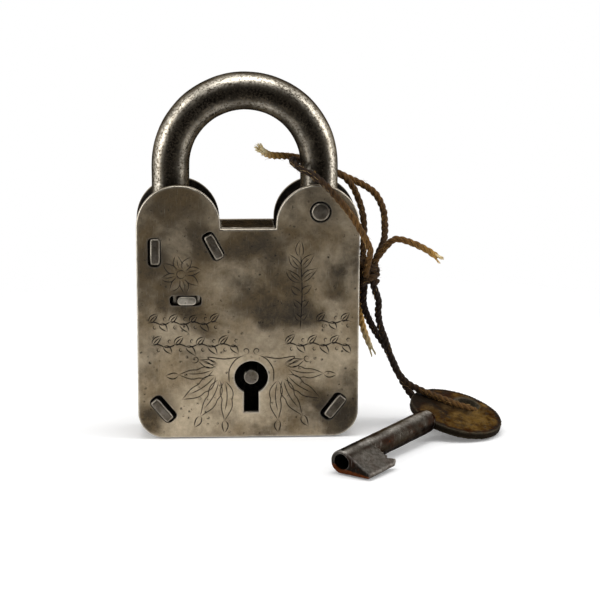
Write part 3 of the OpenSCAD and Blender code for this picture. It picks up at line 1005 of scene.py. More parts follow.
@dataclass
class PeenedPin:
    """A post or pin through both plates, with its ends hammered over.

    Its rings run from the front end to the back: a slightly crowned face, a rubbed rim, the
    tenon in its slot, and the wider body between the plates if it has one.
    """

    node: str
    x: float
    z: float
    length: float
    width: float
    turn: float = 0.0
    body_length: float = 0.0
    squareness: float = 7.0
    outer: float = 9.75
    inner: float = 7.25
    proud: float = 0.7
    bevel: float = 0.45
    seed: float = 1.0
    count: int = 64

    def outline(self, length: float, width: float) -> np.ndarray:
        """Gives a closed outline between an ellipse and a rectangle.

        Args:
            length: Its size along the slot.
            width: Its size across.

        Returns:
            One row a point.
        """
        turn = np.linspace(0, 2 * math.pi, self.count, endpoint=False)
        power = 2 / self.squareness
        c, s = np.cos(turn), np.sin(turn)
        along = length / 2 * np.sign(c) * np.abs(c) ** power
        across = width / 2 * np.sign(s) * np.abs(s) ** power
        return np.stack([along, across], axis=1)

    def ladder(self) -> list[tuple[float, float, float, float, float]]:
        """Gives (depth, length, width, wear_and_highlight, grime_and_shade) of each ring, front to back.

        Returns:
            One row a ring.
        """
        top, b = self.outer + self.proud, 2 * self.bevel
        end = [
            (top, b + 1.1, 0.0, 0.0),
            (top - 0.02, b + 0.35, 0.0, 0.0),
            (top - 0.08, b, 0.55, 0.0),
            (top - 0.22, 0.6 * b, 0.75, 0.0),
            # Down the tenon's sides into its slot, and on the body between the plates, the pin is painted
            # dark as shade
            (top - 0.42, 0.2 * b, 0.1, 0.5),
            (top - 0.62, 0.0, 0.0, 1.0),
            (self.outer - 0.6, 0.0, 0.0, 1.0),
            (self.inner, 0.0, 0.0, 1.0),
        ]
        rings = [(-y, self.length - cut, self.width - cut, w, g) for y, cut, w, g in end]
        if self.body_length:
            rings += [(s * self.inner, self.body_length, self.width, 0.0, 0.5) for s in (-1, 1)]
        rings += [(y, self.length - cut, self.width - cut, w, g) for y, cut, w, g in reversed(end)]
        return rings

    def build(self, finishes: FinishSet, slot: Slot = Slot.RIVET) -> bpy.types.Object:
        """Makes the pin in place of its solid.

        Args:
            finishes: The finishes to choose from.
            slot: The material slot.

        Returns:
            The piece.
        """
        angle = math.radians(self.turn)
        spin = np.array([[math.cos(angle), math.sin(angle)], [-math.sin(angle), math.cos(angle)]])
        points, wear_and_highlight, grime_and_shade = [], [], []
        for y, length, width, w, g in self.ladder():
            flat = self.outline(max(length, 0.3), max(width, 0.3)) @ spin
            points.append(np.column_stack([flat[:, 0] + self.x, np.full(self.count, y), flat[:, 1] + self.z]))
            wear_and_highlight += [w] * self.count
            grime_and_shade += [g] * self.count
        stack = np.vstack(points)
        n, rings = self.count, len(points)
        faces: Faces = [
            (r * n + i, r * n + (i + 1) % n, (r + 1) * n + (i + 1) % n, (r + 1) * n + i)
            for r in range(rings - 1)
            for i in range(n)
        ]
        faces = [f[::-1] for f in faces]
        for ring, flip in ((0, 1), (rings - 1, -1)):
            hub = len(stack)
            stack = np.vstack([stack, stack[ring * n : ring * n + n].mean(axis=0)])
            wear_and_highlight.append(0.0)
            grime_and_shade.append(0.0)
            faces += [(ring * n + i, ring * n + (i + 1) % n, hub)[::flip] for i in range(n)]
        hammered = np.abs(stack[:, 1]) > self.outer
        blows = np.stack([ripple(stack, 1.6, self.seed + k) for k in range(3)], axis=1)
        stack += hammered[:, None] * 0.09 * blows
        piece = new_piece(
            f"peened_{self.node}",
            stack,
            faces,
            {
                "wear_and_highlight": np.array(wear_and_highlight) * (0.75 + 0.5 * ripple(stack, 2.2, self.seed + 9)),
                "grime_and_shade": np.array(grime_and_shade),
            },
        )
        piece.data.set_sharp_from_angle(angle=math.radians(55))
        return place_piece(piece, Body.CASE, finishes.made[slot], slot, self.node)


# ---------------------------------------------------------------- plates


@dataclass
class GraverCut:
    """One engraved line, narrow at both ends."""

    points: np.ndarray
    width: float = 0.55

    def samples(self, step: float) -> tuple[np.ndarray, np.ndarray]:
        """Gives points along the line and the cut's width at each.

        Args:
            step: About how far apart they lie, in mm.

        Returns:
            The points and the widths.
        """
        legs = np.linalg.norm(np.diff(self.points, axis=0), axis=1)
        run = np.concatenate([[0], np.cumsum(legs)])
        count = max(3, int(run[-1] / step) + 1)
        at = np.linspace(0, run[-1], count)
        line = np.stack([np.interp(at, run, self.points[:, k]) for k in (0, 1)], axis=1)
        taper = np.clip(np.minimum(at, run[-1] - at) / min(2.0, run[-1] / 3), 0.12, 1) ** 0.7
        return line, self.width * taper


def bent(points: Sequence[tuple[float, float]], steps: int = 12) -> np.ndarray:
    """Gives a smooth line through flat points.

    Args:
        points: Where it passes.
        steps: The points on each stretch.

    Returns:
        One row a point.
    """
    p = np.array([points[0], *points, points[-1]], float)
    t = np.linspace(0, 1, steps, endpoint=False)[:, None]
    parts = [
        0.5
        * (
            2 * p[i]
            + (p[i + 1] - p[i - 1]) * t
            + (2 * p[i - 1] - 5 * p[i] + 4 * p[i + 1] - p[i + 2]) * t**2
            + (3 * p[i] - p[i - 1] - 3 * p[i + 1] + p[i + 2]) * t**3
        )
        for i in range(1, len(p) - 2)
    ]
    return np.vstack([*parts, p[-1:]])


@dataclass
class Ornament:
    """Plain engraved leaves and scrolls: sprays, four leafy bands, a flower and a sprig."""

    key_x: float = 1.0
    key_z: float = 21.0
    cuts: list[GraverCut] = field(default_factory=list)

    def cut(self, points: np.ndarray, width: float = 0.55) -> None:
        """Adds one line."""
        self.cuts.append(GraverCut(np.asarray(points, float), width))

    def mirrored(self, points: np.ndarray, width: float = 0.55) -> None:
        """Adds a line on the left of the keyhole and its mirror on the right.

        Args:
            points: The left line.
            width: The width of the cut.
        """
        line = np.asarray(points, float)
        self.cut(line, width)
        self.cut(np.column_stack([2 * self.key_x - line[:, 0], line[:, 1]]), width)

    def leaf(
        self, root: tuple[float, float], turn: float, length: float, width: float, vein: bool, lobes: int = 0
    ) -> list[np.ndarray]:
        """Gives the two sides of a pointed leaf, and its vein if it has one.

        Args:
            root: Where it grows from.
            turn: Where it points, in degrees from +X towards +Z.
            length: From root to tip.
            width: About how wide it is.
            vein: Whether it has a vein.
            lobes: How many scallops each side has.

        Returns:
            The lines.
        """
        t = np.linspace(0, 1, 10 + 7 * max(lobes, 1))
        half = width / 2 * np.sin(math.pi * t**0.8) * (1 - 0.15 * t)
        if lobes:
            half *= 0.75 + 0.38 * np.abs(np.sin(lobes * math.pi * t**0.9))
        bend = 0.06 * length * np.sin(math.pi * t)
        a = math.radians(turn)
        spin = np.array([[math.cos(a), math.sin(a)], [-math.sin(a), math.cos(a)]])
        sides = [np.column_stack([t * length, bend + s * half]) @ spin + root for s in (-1, 1)]
        if vein:
            sides.append(np.column_stack([t * length * 0.78, bend])[1:] @ spin + root)
        return sides

    def curl(self, centre: tuple[float, float], radius: float, start: float, turns: float) -> np.ndarray:
        """Gives a small spiral that winds in towards its centre.

        Args:
            centre: Its middle.
            radius: How far out it starts.
            start: Its first angle, in degrees.
            turns: How often it winds; below 0 the other way.

        Returns:
            One row a point.
        """
        t = np.linspace(0, 1, 22)
        a = math.radians(start) + turns * 2 * math.pi * t
        r = radius * (1 - 0.8 * t)
        return np.column_stack([centre[0] + r * np.cos(a), centre[1] + r * np.sin(a)])

    def spray(self) -> None:
        """Cuts the mirrored sprays of lobed leaves and the arcs over the keyhole."""
        x, z = self.key_x, self.key_z
        for along, up, turn, length, width, lobes in (
            (-11.2, 4.6, 166, 7.5, 2.8, 1),
            (-12.6, 3.0, 188, 12.5, 4.0, 2),
            (-12.0, 1.0, 216, 14.5, 4.8, 2),
            (-10.8, -0.4, 243, 15.0, 4.8, 2),
            (-9.0, -1.0, 269, 14.5, 4.6, 2),
        ):
            for side in self.leaf((x + along, z + up), turn, length, width, True, lobes):
                self.mirrored(side, 0.52)
        for along, up, turn in ((-24.6, 1.2, 184), (-9.2, -15.0, 270), (-17.4, -13.4, 242)):
            for side in self.leaf((x + along, z + up), turn, 4.6, 2.2, False):
                self.mirrored(side, 0.6)
        hood = [(x - 7.4, z - 2.2), (x - 7.5, z + 2.6), (x - 5.2, z + 6.4), (x - 2.2, z + 7.9)]
        self.mirrored(bent(hood), 0.6)
        self.mirrored(self.curl((x - 1.9, z + 9.3), 1.3, -90, 1.2), 0.55)
        wing = [(x - 3.8, z + 7.4), (x - 9.0, z + 6.6), (x - 14.8, z + 7.2), (x - 11.5, z + 4.6)]
        self.mirrored(bent(wing), 0.6)
        self.mirrored(self.curl((x - 19.0, z + 6.6), 1.5, 200, 1.1), 0.55)
        self.mirrored(bent([(x - 17.6, z + 6.2), (x - 15.0, z + 5.6), (x - 11.8, z + 3.4)]), 0.55)

    def garland(self, left: float, right: float, z: float, height: float) -> None:
        """Cuts a wavy stem with leaves above and below it in turn, each with a curl on the other side.

        Args:
            left: Where it starts.
            right: Where it ends.
            z: The stem's height on the plate.
            height: A little more than the leaves' length.
        """
        count = max(3, round((right - left) / 3.6))
        pitch = (right - left) / count
        t = np.linspace(0, 1, count * 6)
        wave = 0.10 * height * np.sin(count * math.pi * t)
        self.cut(np.column_stack([left + (right - left) * t, z + wave]), 0.7)
        for k in range(count):
            up = 1 if k % 2 == 0 else -1
            size = height * (0.92, 0.78, 0.86)[k % 3]
            for side in self.leaf((left + pitch * (k + 0.15), z), up * 47, size, 2.1, k % 2 == 0):
                self.cut(side, 0.66)
            tip = (left + pitch * (k + 0.75), z - up * height * 0.3)
            self.cut(self.curl(tip, 0.85, 90 * up, 0.9 * up), 0.6)

    def rosette(self, centre: tuple[float, float], radius: float) -> None:
        """Cuts a plain eight-petalled flower.

        Args:
            centre: Its middle.
            radius: The petals' reach.
        """
        for k in range(8):
            turn = 45 * k + 12
            root = (
                centre[0] + 0.22 * radius * math.cos(math.radians(turn)),
                centre[1] + 0.22 * radius * math.sin(math.radians(turn)),
            )
            for side in self.leaf(root, turn, 0.78 * radius, 0.42 * radius, k % 2 == 0):
                self.cut(side, 0.55)
        t = np.linspace(0, 2 * math.pi, 20)
        eye = np.column_stack([centre[0] + 0.2 * radius * np.cos(t), centre[1] + 0.2 * radius * np.sin(t)])
        self.cut(eye, 0.55)

    def sprig(self, foot: tuple[float, float], height: float) -> None:
        """Cuts an upright stem with paired leaves, larger towards its head.

        Args:
            foot: Where it stands.
            height: About how tall it is.
        """
        stem = [foot, (foot[0] + 0.5, foot[1] + height * 0.4), (foot[0], foot[1] + height * 0.82)]
        self.cut(bent(stem), 0.65)
        for share, size, width, lean in (
            (0.10, 3.4, 1.6, 40),
            (0.24, 4.0, 1.8, 42),
            (0.38, 5.0, 2.2, 48),
            (0.52, 7.2, 2.8, 50),
            (0.66, 7.0, 2.8, 40),
        ):
            root = (foot[0] + 0.3, foot[1] + height * share)
            for s in (-1, 1):
                for side in self.leaf(root, 90 - s * lean, size, width, size > 5):
                    self.cut(side, 0.55)
        for side in self.leaf((foot[0], foot[1] + height * 0.78), 90, 6.4, 2.8, True):
            self.cut(side, 0.55)

    def build(self) -> list[GraverCut]:
        """Gives every line of the front plate.

        Returns:
            The lines.
        """
        self.spray()
        self.garland(-34.0, -10.0, 40.2, 5.2)
        self.garland(-33.0, -3.0, 32.4, 5.4)
        self.garland(22.5, 35.0, 40.2, 5.0)
        self.garland(12.0, 35.0, 32.4, 5.4)
        self.rosette((-22.6, 57.0), 7.2)
        self.sprig((17.6, 37.5), 32.0)
        return self.cuts


@dataclass
class Plate:
    """A plate cut from sheet: rounded shoulders, slots for the tenons and filed, rubbed edges.

    Both faces are triangulated round the holes, and the front plate's outer face along its engraved
    lines too, which are real V-shaped cuts.
    """

    node: str
    front: bool
    width: float = 75.0
    shoulder: float = 73.0
    lobe_r: float = 14.1
    corner_r: float = 9.0
    saddle_drop: float = 0.7
    inner: float = 7.25
    outer: float = 9.75
    edge_round: float = 0.42
    cut_depth: float = 0.2
    slots: tuple[tuple[float, float, float, float, float], ...] = (
        (-31.5, 64.5, 90.0, 9.8, 4.2),
        (-11.8, 66.6, 118.0, 9.9, 4.3),
        (-28.9, 10.2, -50.0, 10.2, 4.7),
        (29.0, 10.5, 52.0, 10.2, 4.7),
    )
    tight_slots: tuple[tuple[float, float, float, float, float], ...] = (
        (-31.1, 64.8, 90.0, 9.3, 3.7),
        (-11.5, 66.2, 118.0, 9.3, 3.7),
        (-29.4, 9.8, -50.0, 9.4, 3.8),
        (29.6, 10.4, 52.0, 9.4, 3.8),
    )
    # Dark smudges as (x, z, reach, strength): stains, and two wide faint ones on the lobes that darken the
    # plate's top as painted shade
    smudges_and_shade: tuple[tuple[float, float, float, float], ...] = (
        (0.6, 66.5, 6.0, 1.0),
        (7.0, 62.0, 6.0, 0.6),
        (7.0, 44.0, 5.5, 0.9),
        (16.0, 44.0, 5.5, 1.0),
        (12.0, 53.0, 9.0, 0.5),
        (30.0, 56.0, 4.0, 0.9),
        (-20.3, 45.5, 5.0, 1.0),
        (-27.0, 48.0, 4.0, 0.6),
        (-23.0, 82.0, 12.0, 0.3),
        (23.0, 84.0, 12.0, 0.3),
        (2.0, 52.0, 8.0, 0.5),
        (-34.0, 59.0, 5.0, 0.8),
        (-15.0, 69.5, 5.0, 0.7),
        (34.5, 5.5, 6.0, 1.0),
        (24.5, 12.0, 4.0, 0.8),
        (-34.0, 6.0, 5.0, 0.8),
        (36.0, 62.0, 6.0, 0.5),
    )

    def arc(self, x: float, z: float, r: float, start: float, end: float) -> list[tuple[float, float]]:
        """Gives points along an arc, about 0.7 mm apart or closer.

        Args:
            x: Its middle.
            z: Its middle.
            r: Its radius.
            start: Its first angle, in degrees.
            end: Its last angle.

        Returns:
            The points.
        """
        n = max(6, int(abs(math.radians(end - start)) * r / 0.7))
        return [
            (x + r * math.cos(math.radians(a)), z + r * math.sin(math.radians(a)))
            for a in np.linspace(start, end, n)
        ]

    def outline(self) -> np.ndarray:
        """Gives the plate's edge, anticlockwise from its lower left corner.

        Returns:
            One row a point.
        """
        half, c = self.width / 2, self.corner_r
        lobe_x = half - self.lobe_r
        dip = math.degrees(math.asin(-self.saddle_drop / self.lobe_r))
        edge = self.arc(-half + c, c, c, 180, 270) + self.arc(half - c, c, c, 270, 360)
        edge += self.arc(lobe_x, self.shoulder, self.lobe_r, 0, 180 - dip)
        edge += self.arc(-lobe_x, self.shoulder, self.lobe_r, dip, 180)
        return self.evened(np.array(edge), 0.9)

    def evened(self, loop: np.ndarray, step: float) -> np.ndarray:
        """Adds points to a closed line's long legs and drops doubled ones.

        Args:
            loop: The line.
            step: Legs at least twice this long are split.

        Returns:
            One row a point.
        """
        keep = [p for i, p in enumerate(loop) if np.linalg.norm(p - loop[i - 1]) > 0.02]
        out: list[np.ndarray] = []
        for i, p in enumerate(keep):
            q = keep[(i + 1) % len(keep)]
            n = max(1, int(np.linalg.norm(q - p) / step))
            out += [p + (q - p) * k / n for k in range(n)]
        return np.array(out)

    def slot_loop(self, x: float, z: float, turn: float, length: float, width: float) -> np.ndarray:
        """Gives a slot's edge: an oblong with well rounded corners.

        Args:
            x: Its middle.
            z: Its middle.
            turn: Its slant, in degrees.
            length: Its long side.
            width: Its short side.

        Returns:
            One row a point.
        """
        r = 0.36 * width
        run, rise = length / 2 - r, width / 2 - r
        points = self.arc(run, -rise, r, -90, 0) + self.arc(run, rise, r, 0, 90)
        points += self.arc(-run, rise, r, 90, 180) + self.arc(-run, -rise, r, 180, 270)
        a = math.radians(turn)
        spin = np.array([[math.cos(a), math.sin(a)], [-math.sin(a), math.cos(a)]])
        return self.evened(np.array(points) @ spin + (x, z), 0.6)

    def keyhole_loop(self) -> np.ndarray:
        """Gives the keyhole's edge: a round hole over a straight slot.

        Returns:
            One row a point.
        """
        x, z, r, w, low = 1.0, 21.0, 5.7, 2.5, 8.8
        side = math.degrees(math.asin(w / r))
        points = self.arc(x, z, r, -90 + side, 270 - side) + [(x - w, low), (x + w, low)]
        return self.evened(np.array(points), 0.6)

    def holes(self) -> list[np.ndarray]:
        """Gives the edges of all the holes of this plate.

        Returns:
            One line a hole.
        """
        loops = [self.slot_loop(*s) for s in (self.slots if self.front else self.tight_slots)]
        loops.append(self.evened(np.array(self.arc(24.2, 78.0, 3.5, 0, 345)), 0.6))
        if self.front:
            loops.append(self.keyhole_loop())
            loops.append(self.slot_loop(-21.1, 47.9, 0, 10.6, 3.4))
        else:
            for x, z, r in ((1, 21, 2.02), (14, 36.5, 1.52), (28.5, 48, 1.52), (20.5, 46.65, 1.02)):
                loops.append(self.evened(np.array(self.arc(x, z, r, 0, 340)), 0.6))
        return loops

    def rubbed(self, index: int) -> float:
        """Gives how brightly a loop's edge is rubbed: the outline, the keyhole, then the rest."""
        return 1.0 if index == 0 else 0.75 if self.front and index == 6 else 0.15

    def inset(self, loop: np.ndarray, inward: float, by: np.ndarray) -> np.ndarray:
        """Moves a closed line into the sheet.

        Args:
            loop: The line.
            inward: 1 for the outline, -1 for a hole.
            by: How far at each point, in mm.

        Returns:
            The moved line.
        """
        ahead = np.roll(loop, -1, axis=0) - loop
        ahead /= np.linalg.norm(ahead, axis=1)[:, None]
        behind = np.roll(ahead, 1, axis=0)
        side = np.stack([-(ahead + behind)[:, 1], (ahead + behind)[:, 0]], axis=1)
        side /= np.linalg.norm(side, axis=1)[:, None]
        stretch = 1 / np.clip((side * np.stack([-ahead[:, 1], ahead[:, 0]], axis=1)).sum(axis=1), 0.6, 1)
        return loop + side * (inward * by * stretch)[:, None]

    def inside(self, points: np.ndarray, loop: np.ndarray) -> np.ndarray:
        """Tells which points lie inside a closed line.

        Args:
            points: One row a point.
            loop: The line.

        Returns:
            True for each that does.
        """
        a, b = loop, np.roll(loop, -1, axis=0)
        within = np.zeros(len(points), bool)
        for (ax, az), (bx, bz) in zip(a, b):
            if az == bz:
                continue
            crosses = (az > points[:, 1]) != (bz > points[:, 1])
            within ^= crosses & (points[:, 0] < (bx - ax) * (points[:, 1] - az) / (bz - az) + ax)
        return within

    def face(
        self, loops: list[np.ndarray], cuts: list[GraverCut]
    ) -> tuple[np.ndarray, np.ndarray, list[int], np.ndarray]:
        """Triangulates one face inside its loops.

        Args:
            loops: The outline first, then the holes.
            cuts: The engraved lines, if any.

        Returns:
            The points, the triangles, where each loop point went, and how deeply each is engraved.
        """
        coords: list[np.ndarray] = [*np.vstack(loops)]
        edges: list[tuple[int, int]] = []
        start = 0
        for loop in loops:
            n = len(loop)
            edges += [(start + i, start + (i + 1) % n) for i in range(n)]
            start += n
        centres, widths = [np.empty((0, 2))], [np.empty(0)]
        for cut in cuts:
            line, width = cut.samples(0.55)
            way = np.gradient(line, axis=0)
            way /= np.linalg.norm(way, axis=1)[:, None]
            side = np.stack([-way[:, 1], way[:, 0]], axis=1) * (width / 2)[:, None]
            for lane in (line - side, line, line + side):
                base = len(coords)
                coords += [*lane]
                edges += [(base + i, base + i + 1) for i in range(len(lane) - 1)]
            dense, dense_width = cut.samples(0.12)
            centres.append(dense)
            widths.append(dense_width)
        # A loose net of points between, close to the holes as well, so that paint can fade
        rng = random.Random(4)
        net = [
            (x + rng.uniform(-0.4, 0.4), z + rng.uniform(-0.4, 0.4))
            for x in np.arange(-37, 37.5, 1.5)
            for z in np.arange(0.5, 87, 1.5)
        ]
        rims = [
            self.inset(loop, 1 if k == 0 else -1, np.full(len(loop), d))
            for k, loop in enumerate(loops)
            for d in (0.35, 0.9)
        ]
        spare = np.vstack([np.array(net), *rims])
        ok = self.inside(spare, self.inset(loops[0], 1, np.full(len(loops[0]), 0.2)))
        for loop in loops[1:]:
            ok &= ~self.inside(spare, self.inset(loop, -1, np.full(len(loop), 0.2)))
        coords += [*spare[ok]]
        points, _, triangles, origin, _, _ = delaunay_2d_cdt(
            [Vector(p) for p in coords], edges, [], 0, 1e-4, True
        )
        flat = np.array([tuple(p) for p in points])
        tris = np.array([t for t in triangles if len(t) == 3])
        middle = flat[tris].mean(axis=1)
        keep = self.inside(middle, loops[0])
        for loop in loops[1:]:
            keep &= ~self.inside(middle, loop)
        where = [0] * start
        for new, olds in enumerate(origin):
            for old in olds:
                if old < start:
                    where[old] = new
        depth = np.zeros(len(flat))
        line, width = np.vstack(centres), np.concatenate(widths)
        if len(line):
            tree = KDTree(len(line))
            for i, p in enumerate(line):
                tree.insert((p[0], p[1], 0), i)
            tree.balance()
            for i, p in enumerate(flat):
                _, at, away = tree.find((p[0], p[1], 0))
                depth[i] = max(0.0, 1 - away / (width[at] / 2)) * width[at] / 0.55
        return flat, tris[keep], where, depth

    def crease(self, piece: bpy.types.Object, on_face: int) -> None:
        """Keeps the sides of the engraved cuts crisp and the rounded rims smooth.

        Args:
            piece: The plate.
            on_face: How many of its first corners lie on its outer face.
        """
        shape = bmesh.new()
        shape.from_mesh(piece.data)
        for edge in shape.edges:
            engraved = all(v.index < on_face for v in edge.verts)
            limit = math.radians(14 if engraved else 46)
            edge.smooth = edge.calc_face_angle(0.0) < limit
        shape.to_mesh(piece.data)
        shape.free()

    def build(self, finishes: FinishSet, cuts: list[GraverCut]) -> bpy.types.Object:
        """Makes the plate in place of its solid.

        Args:
            finishes: The finishes to choose from.
            cuts: The engraved lines of its outer face.

        Returns:
            The piece.
        """
        loops = [self.outline(), *self.holes()]
        sign = -1.0 if self.front else 1.0
        rounds = [
            self.edge_round
            * (1.0 if k == 0 else 0.75)
            * (1 + 0.55 * ripple(np.column_stack([loop, np.zeros(len(loop))]), 4.0, 11.0 + k))
            for k, loop in enumerate(loops)
        ]
        inward = [1 if k == 0 else -1 for k in range(len(loops))]
        outer_loops = [self.inset(lp, s, r) for lp, s, r in zip(loops, inward, rounds)]
        inner_loops = [self.inset(lp, s, r * 0.5) for lp, s, r in zip(loops, inward, rounds)]
        flat, tris, where, depth = self.face(outer_loops, cuts)
        back, back_tris, back_where, _ = self.face(inner_loops, [])
        deep = depth * self.cut_depth
        y_out, y_in = sign * self.outer, sign * self.inner
        points = [np.column_stack([flat[:, 0], y_out - sign * deep, flat[:, 1]])]
        points.append(np.column_stack([back[:, 0], np.full(len(back), y_in), back[:, 1]]))
        faces: Faces = [tuple(t if self.front else t[::-1]) for t in tris.tolist()]
        n_flat = len(flat)
        faces += [
            tuple(i + n_flat for i in (t[::-1] if self.front else t)) for t in back_tris.tolist()
        ]
        rim = KDTree(sum(map(len, loops)))
        for i, p in enumerate(np.vstack(loops)):
            rim.insert((p[0], p[1], 0), i)
        rim.balance()
        away = np.array([rim.find((p[0], p[1], 0))[2] for p in flat])
        ends = np.vstack([np.array([(s[0], s[1]) for s in self.slots]), [(24.2, 78.0)], [(-21.1, 47.9)]])
        by_slot = np.min(np.linalg.norm(flat[:, None, :] - ends[None], axis=2), axis=1)
        tarnish_and_shade = np.zeros(len(flat))
        if self.front:
            spread = np.column_stack([flat, np.zeros(len(flat))])
            warped = flat + np.column_stack([4.5 * ripple(spread, 7.0, seed) for seed in (1.5, 8.5)])
            for x, z, r, strength in self.smudges_and_shade:
                tarnish_and_shade = np.maximum(tarnish_and_shade, strength * np.exp(-((warped - (x, z)) ** 2).sum(axis=1) / r**2))
        else:
            tarnish_and_shade = 0.55 + 0.5 * ripple(np.column_stack([flat, np.zeros(len(flat))]), 26.0, 7.0)
        edge = np.vstack([np.full((len(lp), 1), self.rubbed(k)) for k, lp in enumerate(loops)])[:, 0]
        rubbed = np.array([edge[rim.find((p[0], p[1], 0))[1]] for p in flat])
        wear_and_highlight = [0.8 * rubbed * np.exp(-((away / 0.45) ** 2)), np.zeros(len(back))]
        # Darker round the slots and the swing pin's hole; the inner face, between the plates, is painted dark
        # all over as shade
        darkened_round_slots = 0.38 * np.exp(-((np.clip(by_slot - 2.5, 0, 99) / 2.6) ** 2)) * (away > 0.3)
        grime_and_shade = [darkened_round_slots, np.ones(len(back))]
        tarnish_and_shade_all = [tarnish_and_shade, np.ones(len(back))]
        engraved = [np.clip(depth, 0, 1), np.zeros(len(back))]
        total, first, first_back = n_flat + len(back), 0, 0
        # Round each hole the rim darkens into the hole and the wall is painted dark, as shade; the outline's
        # wall is a little darker
        for k, (loop, s, r) in enumerate(zip(loops, inward, rounds)):
            n, share = len(loop), self.rubbed(k)
            rings = [[where[first + i] for i in range(n)]]
            for step, bare in ((0.33, 1.0), (0.66, 0.7), (1.0, 0.2)):
                turn = step * math.pi / 2
                ring = self.inset(loop, s, r * (1 - math.sin(turn)))
                y = y_out - sign * r * (1 - math.cos(turn))
                points.append(np.column_stack([ring[:, 0], y, ring[:, 1]]))
                rings.append(list(range(total, total + n)))
                total += n
                wear_and_highlight.append(np.full(n, bare * share))
                grime_and_shade.append(np.full(n, 0.0 if s > 0 else 1.0 - share * (1.3 - step)))
                tarnish_and_shade_all.append(np.zeros(n))
                engraved.append(np.zeros(n))
            points.append(np.column_stack([loop[:, 0], y_in + sign * r * 0.5, loop[:, 1]]))
            rings.append(list(range(total, total + n)))
            total += n
            wear_and_highlight.append(np.zeros(n))
            grime_and_shade.append(np.full(n, 0.25 if s > 0 else 1.0))
            tarnish_and_shade_all.append(np.full(n, 0.5))
            engraved.append(np.zeros(n))
            rings.append([n_flat + back_where[first_back + i] for i in range(n)])
            flip = (s > 0) != self.front
            for a, b in zip(rings, rings[1:]):
                for i in range(n):
                    j = (i + 1) % n
                    quad = (a[i], a[j], b[j], b[i])
                    faces.append(quad if flip else quad[::-1])
            first += n
            first_back += n
        stack = np.vstack(points)
        warp = 0.10 * ripple(stack * (1, 0, 1), 24.0, 2.0) + 0.025 * ripple(stack * (1, 0, 1), 7.0, 6.0)
        stack[:, 1] += warp
        piece = new_piece(
            f"cut_{self.node}",
            stack,
            faces,
            {
                "wear_and_highlight": np.concatenate(wear_and_highlight),
                "grime_and_shade": np.concatenate(grime_and_shade),
                "tarnish_and_shade": np.concatenate(tarnish_and_shade_all),
                "engraved": np.concatenate(engraved),
            },
        )
        self.crease(piece, n_flat)
        return place_piece(piece, Body.CASE, finishes.made[Slot.PLATE], Slot.PLATE, self.node)


# ---------------------------------------------------------------- twine


def smooth_route(route: Sequence[Sequence[float]], step: float) -> np.ndarray:
    """Gives evenly spaced points on a smooth curve through a route.

    Args:
        route: The points to pass through.
        step: About how far apart they lie, in mm.

    Returns:
        The points.
    """
    p = np.array([route[0], *route, route[-1]], float)
    p[0], p[-1] = 2 * p[1] - p[2], 2 * p[-2] - p[-3]
    t = np.linspace(0, 1, 16, endpoint=False)[:, None]
    fine = np.vstack(
        [
            0.5
            * (
                2 * p[i]
                + (p[i + 1] - p[i - 1]) * t
                + (2 * p[i - 1] - 5 * p[i] + 4 * p[i + 1] - p[i + 2]) * t**2
                + (3 * p[i] - p[i - 1] - 3 * p[i + 1] + p[i + 2]) * t**3
            )
            for i in range(1, len(p) - 2)
        ]
        + [p[-2:-1]]
    )
    run = np.concatenate([[0], np.cumsum(np.linalg.norm(np.diff(fine, axis=0), axis=1))])
    at = np.linspace(0, run[-1], max(4, round(run[-1] / step) + 1))
    return np.stack([np.interp(at, run, fine[:, k]) for k in range(3)], axis=1)


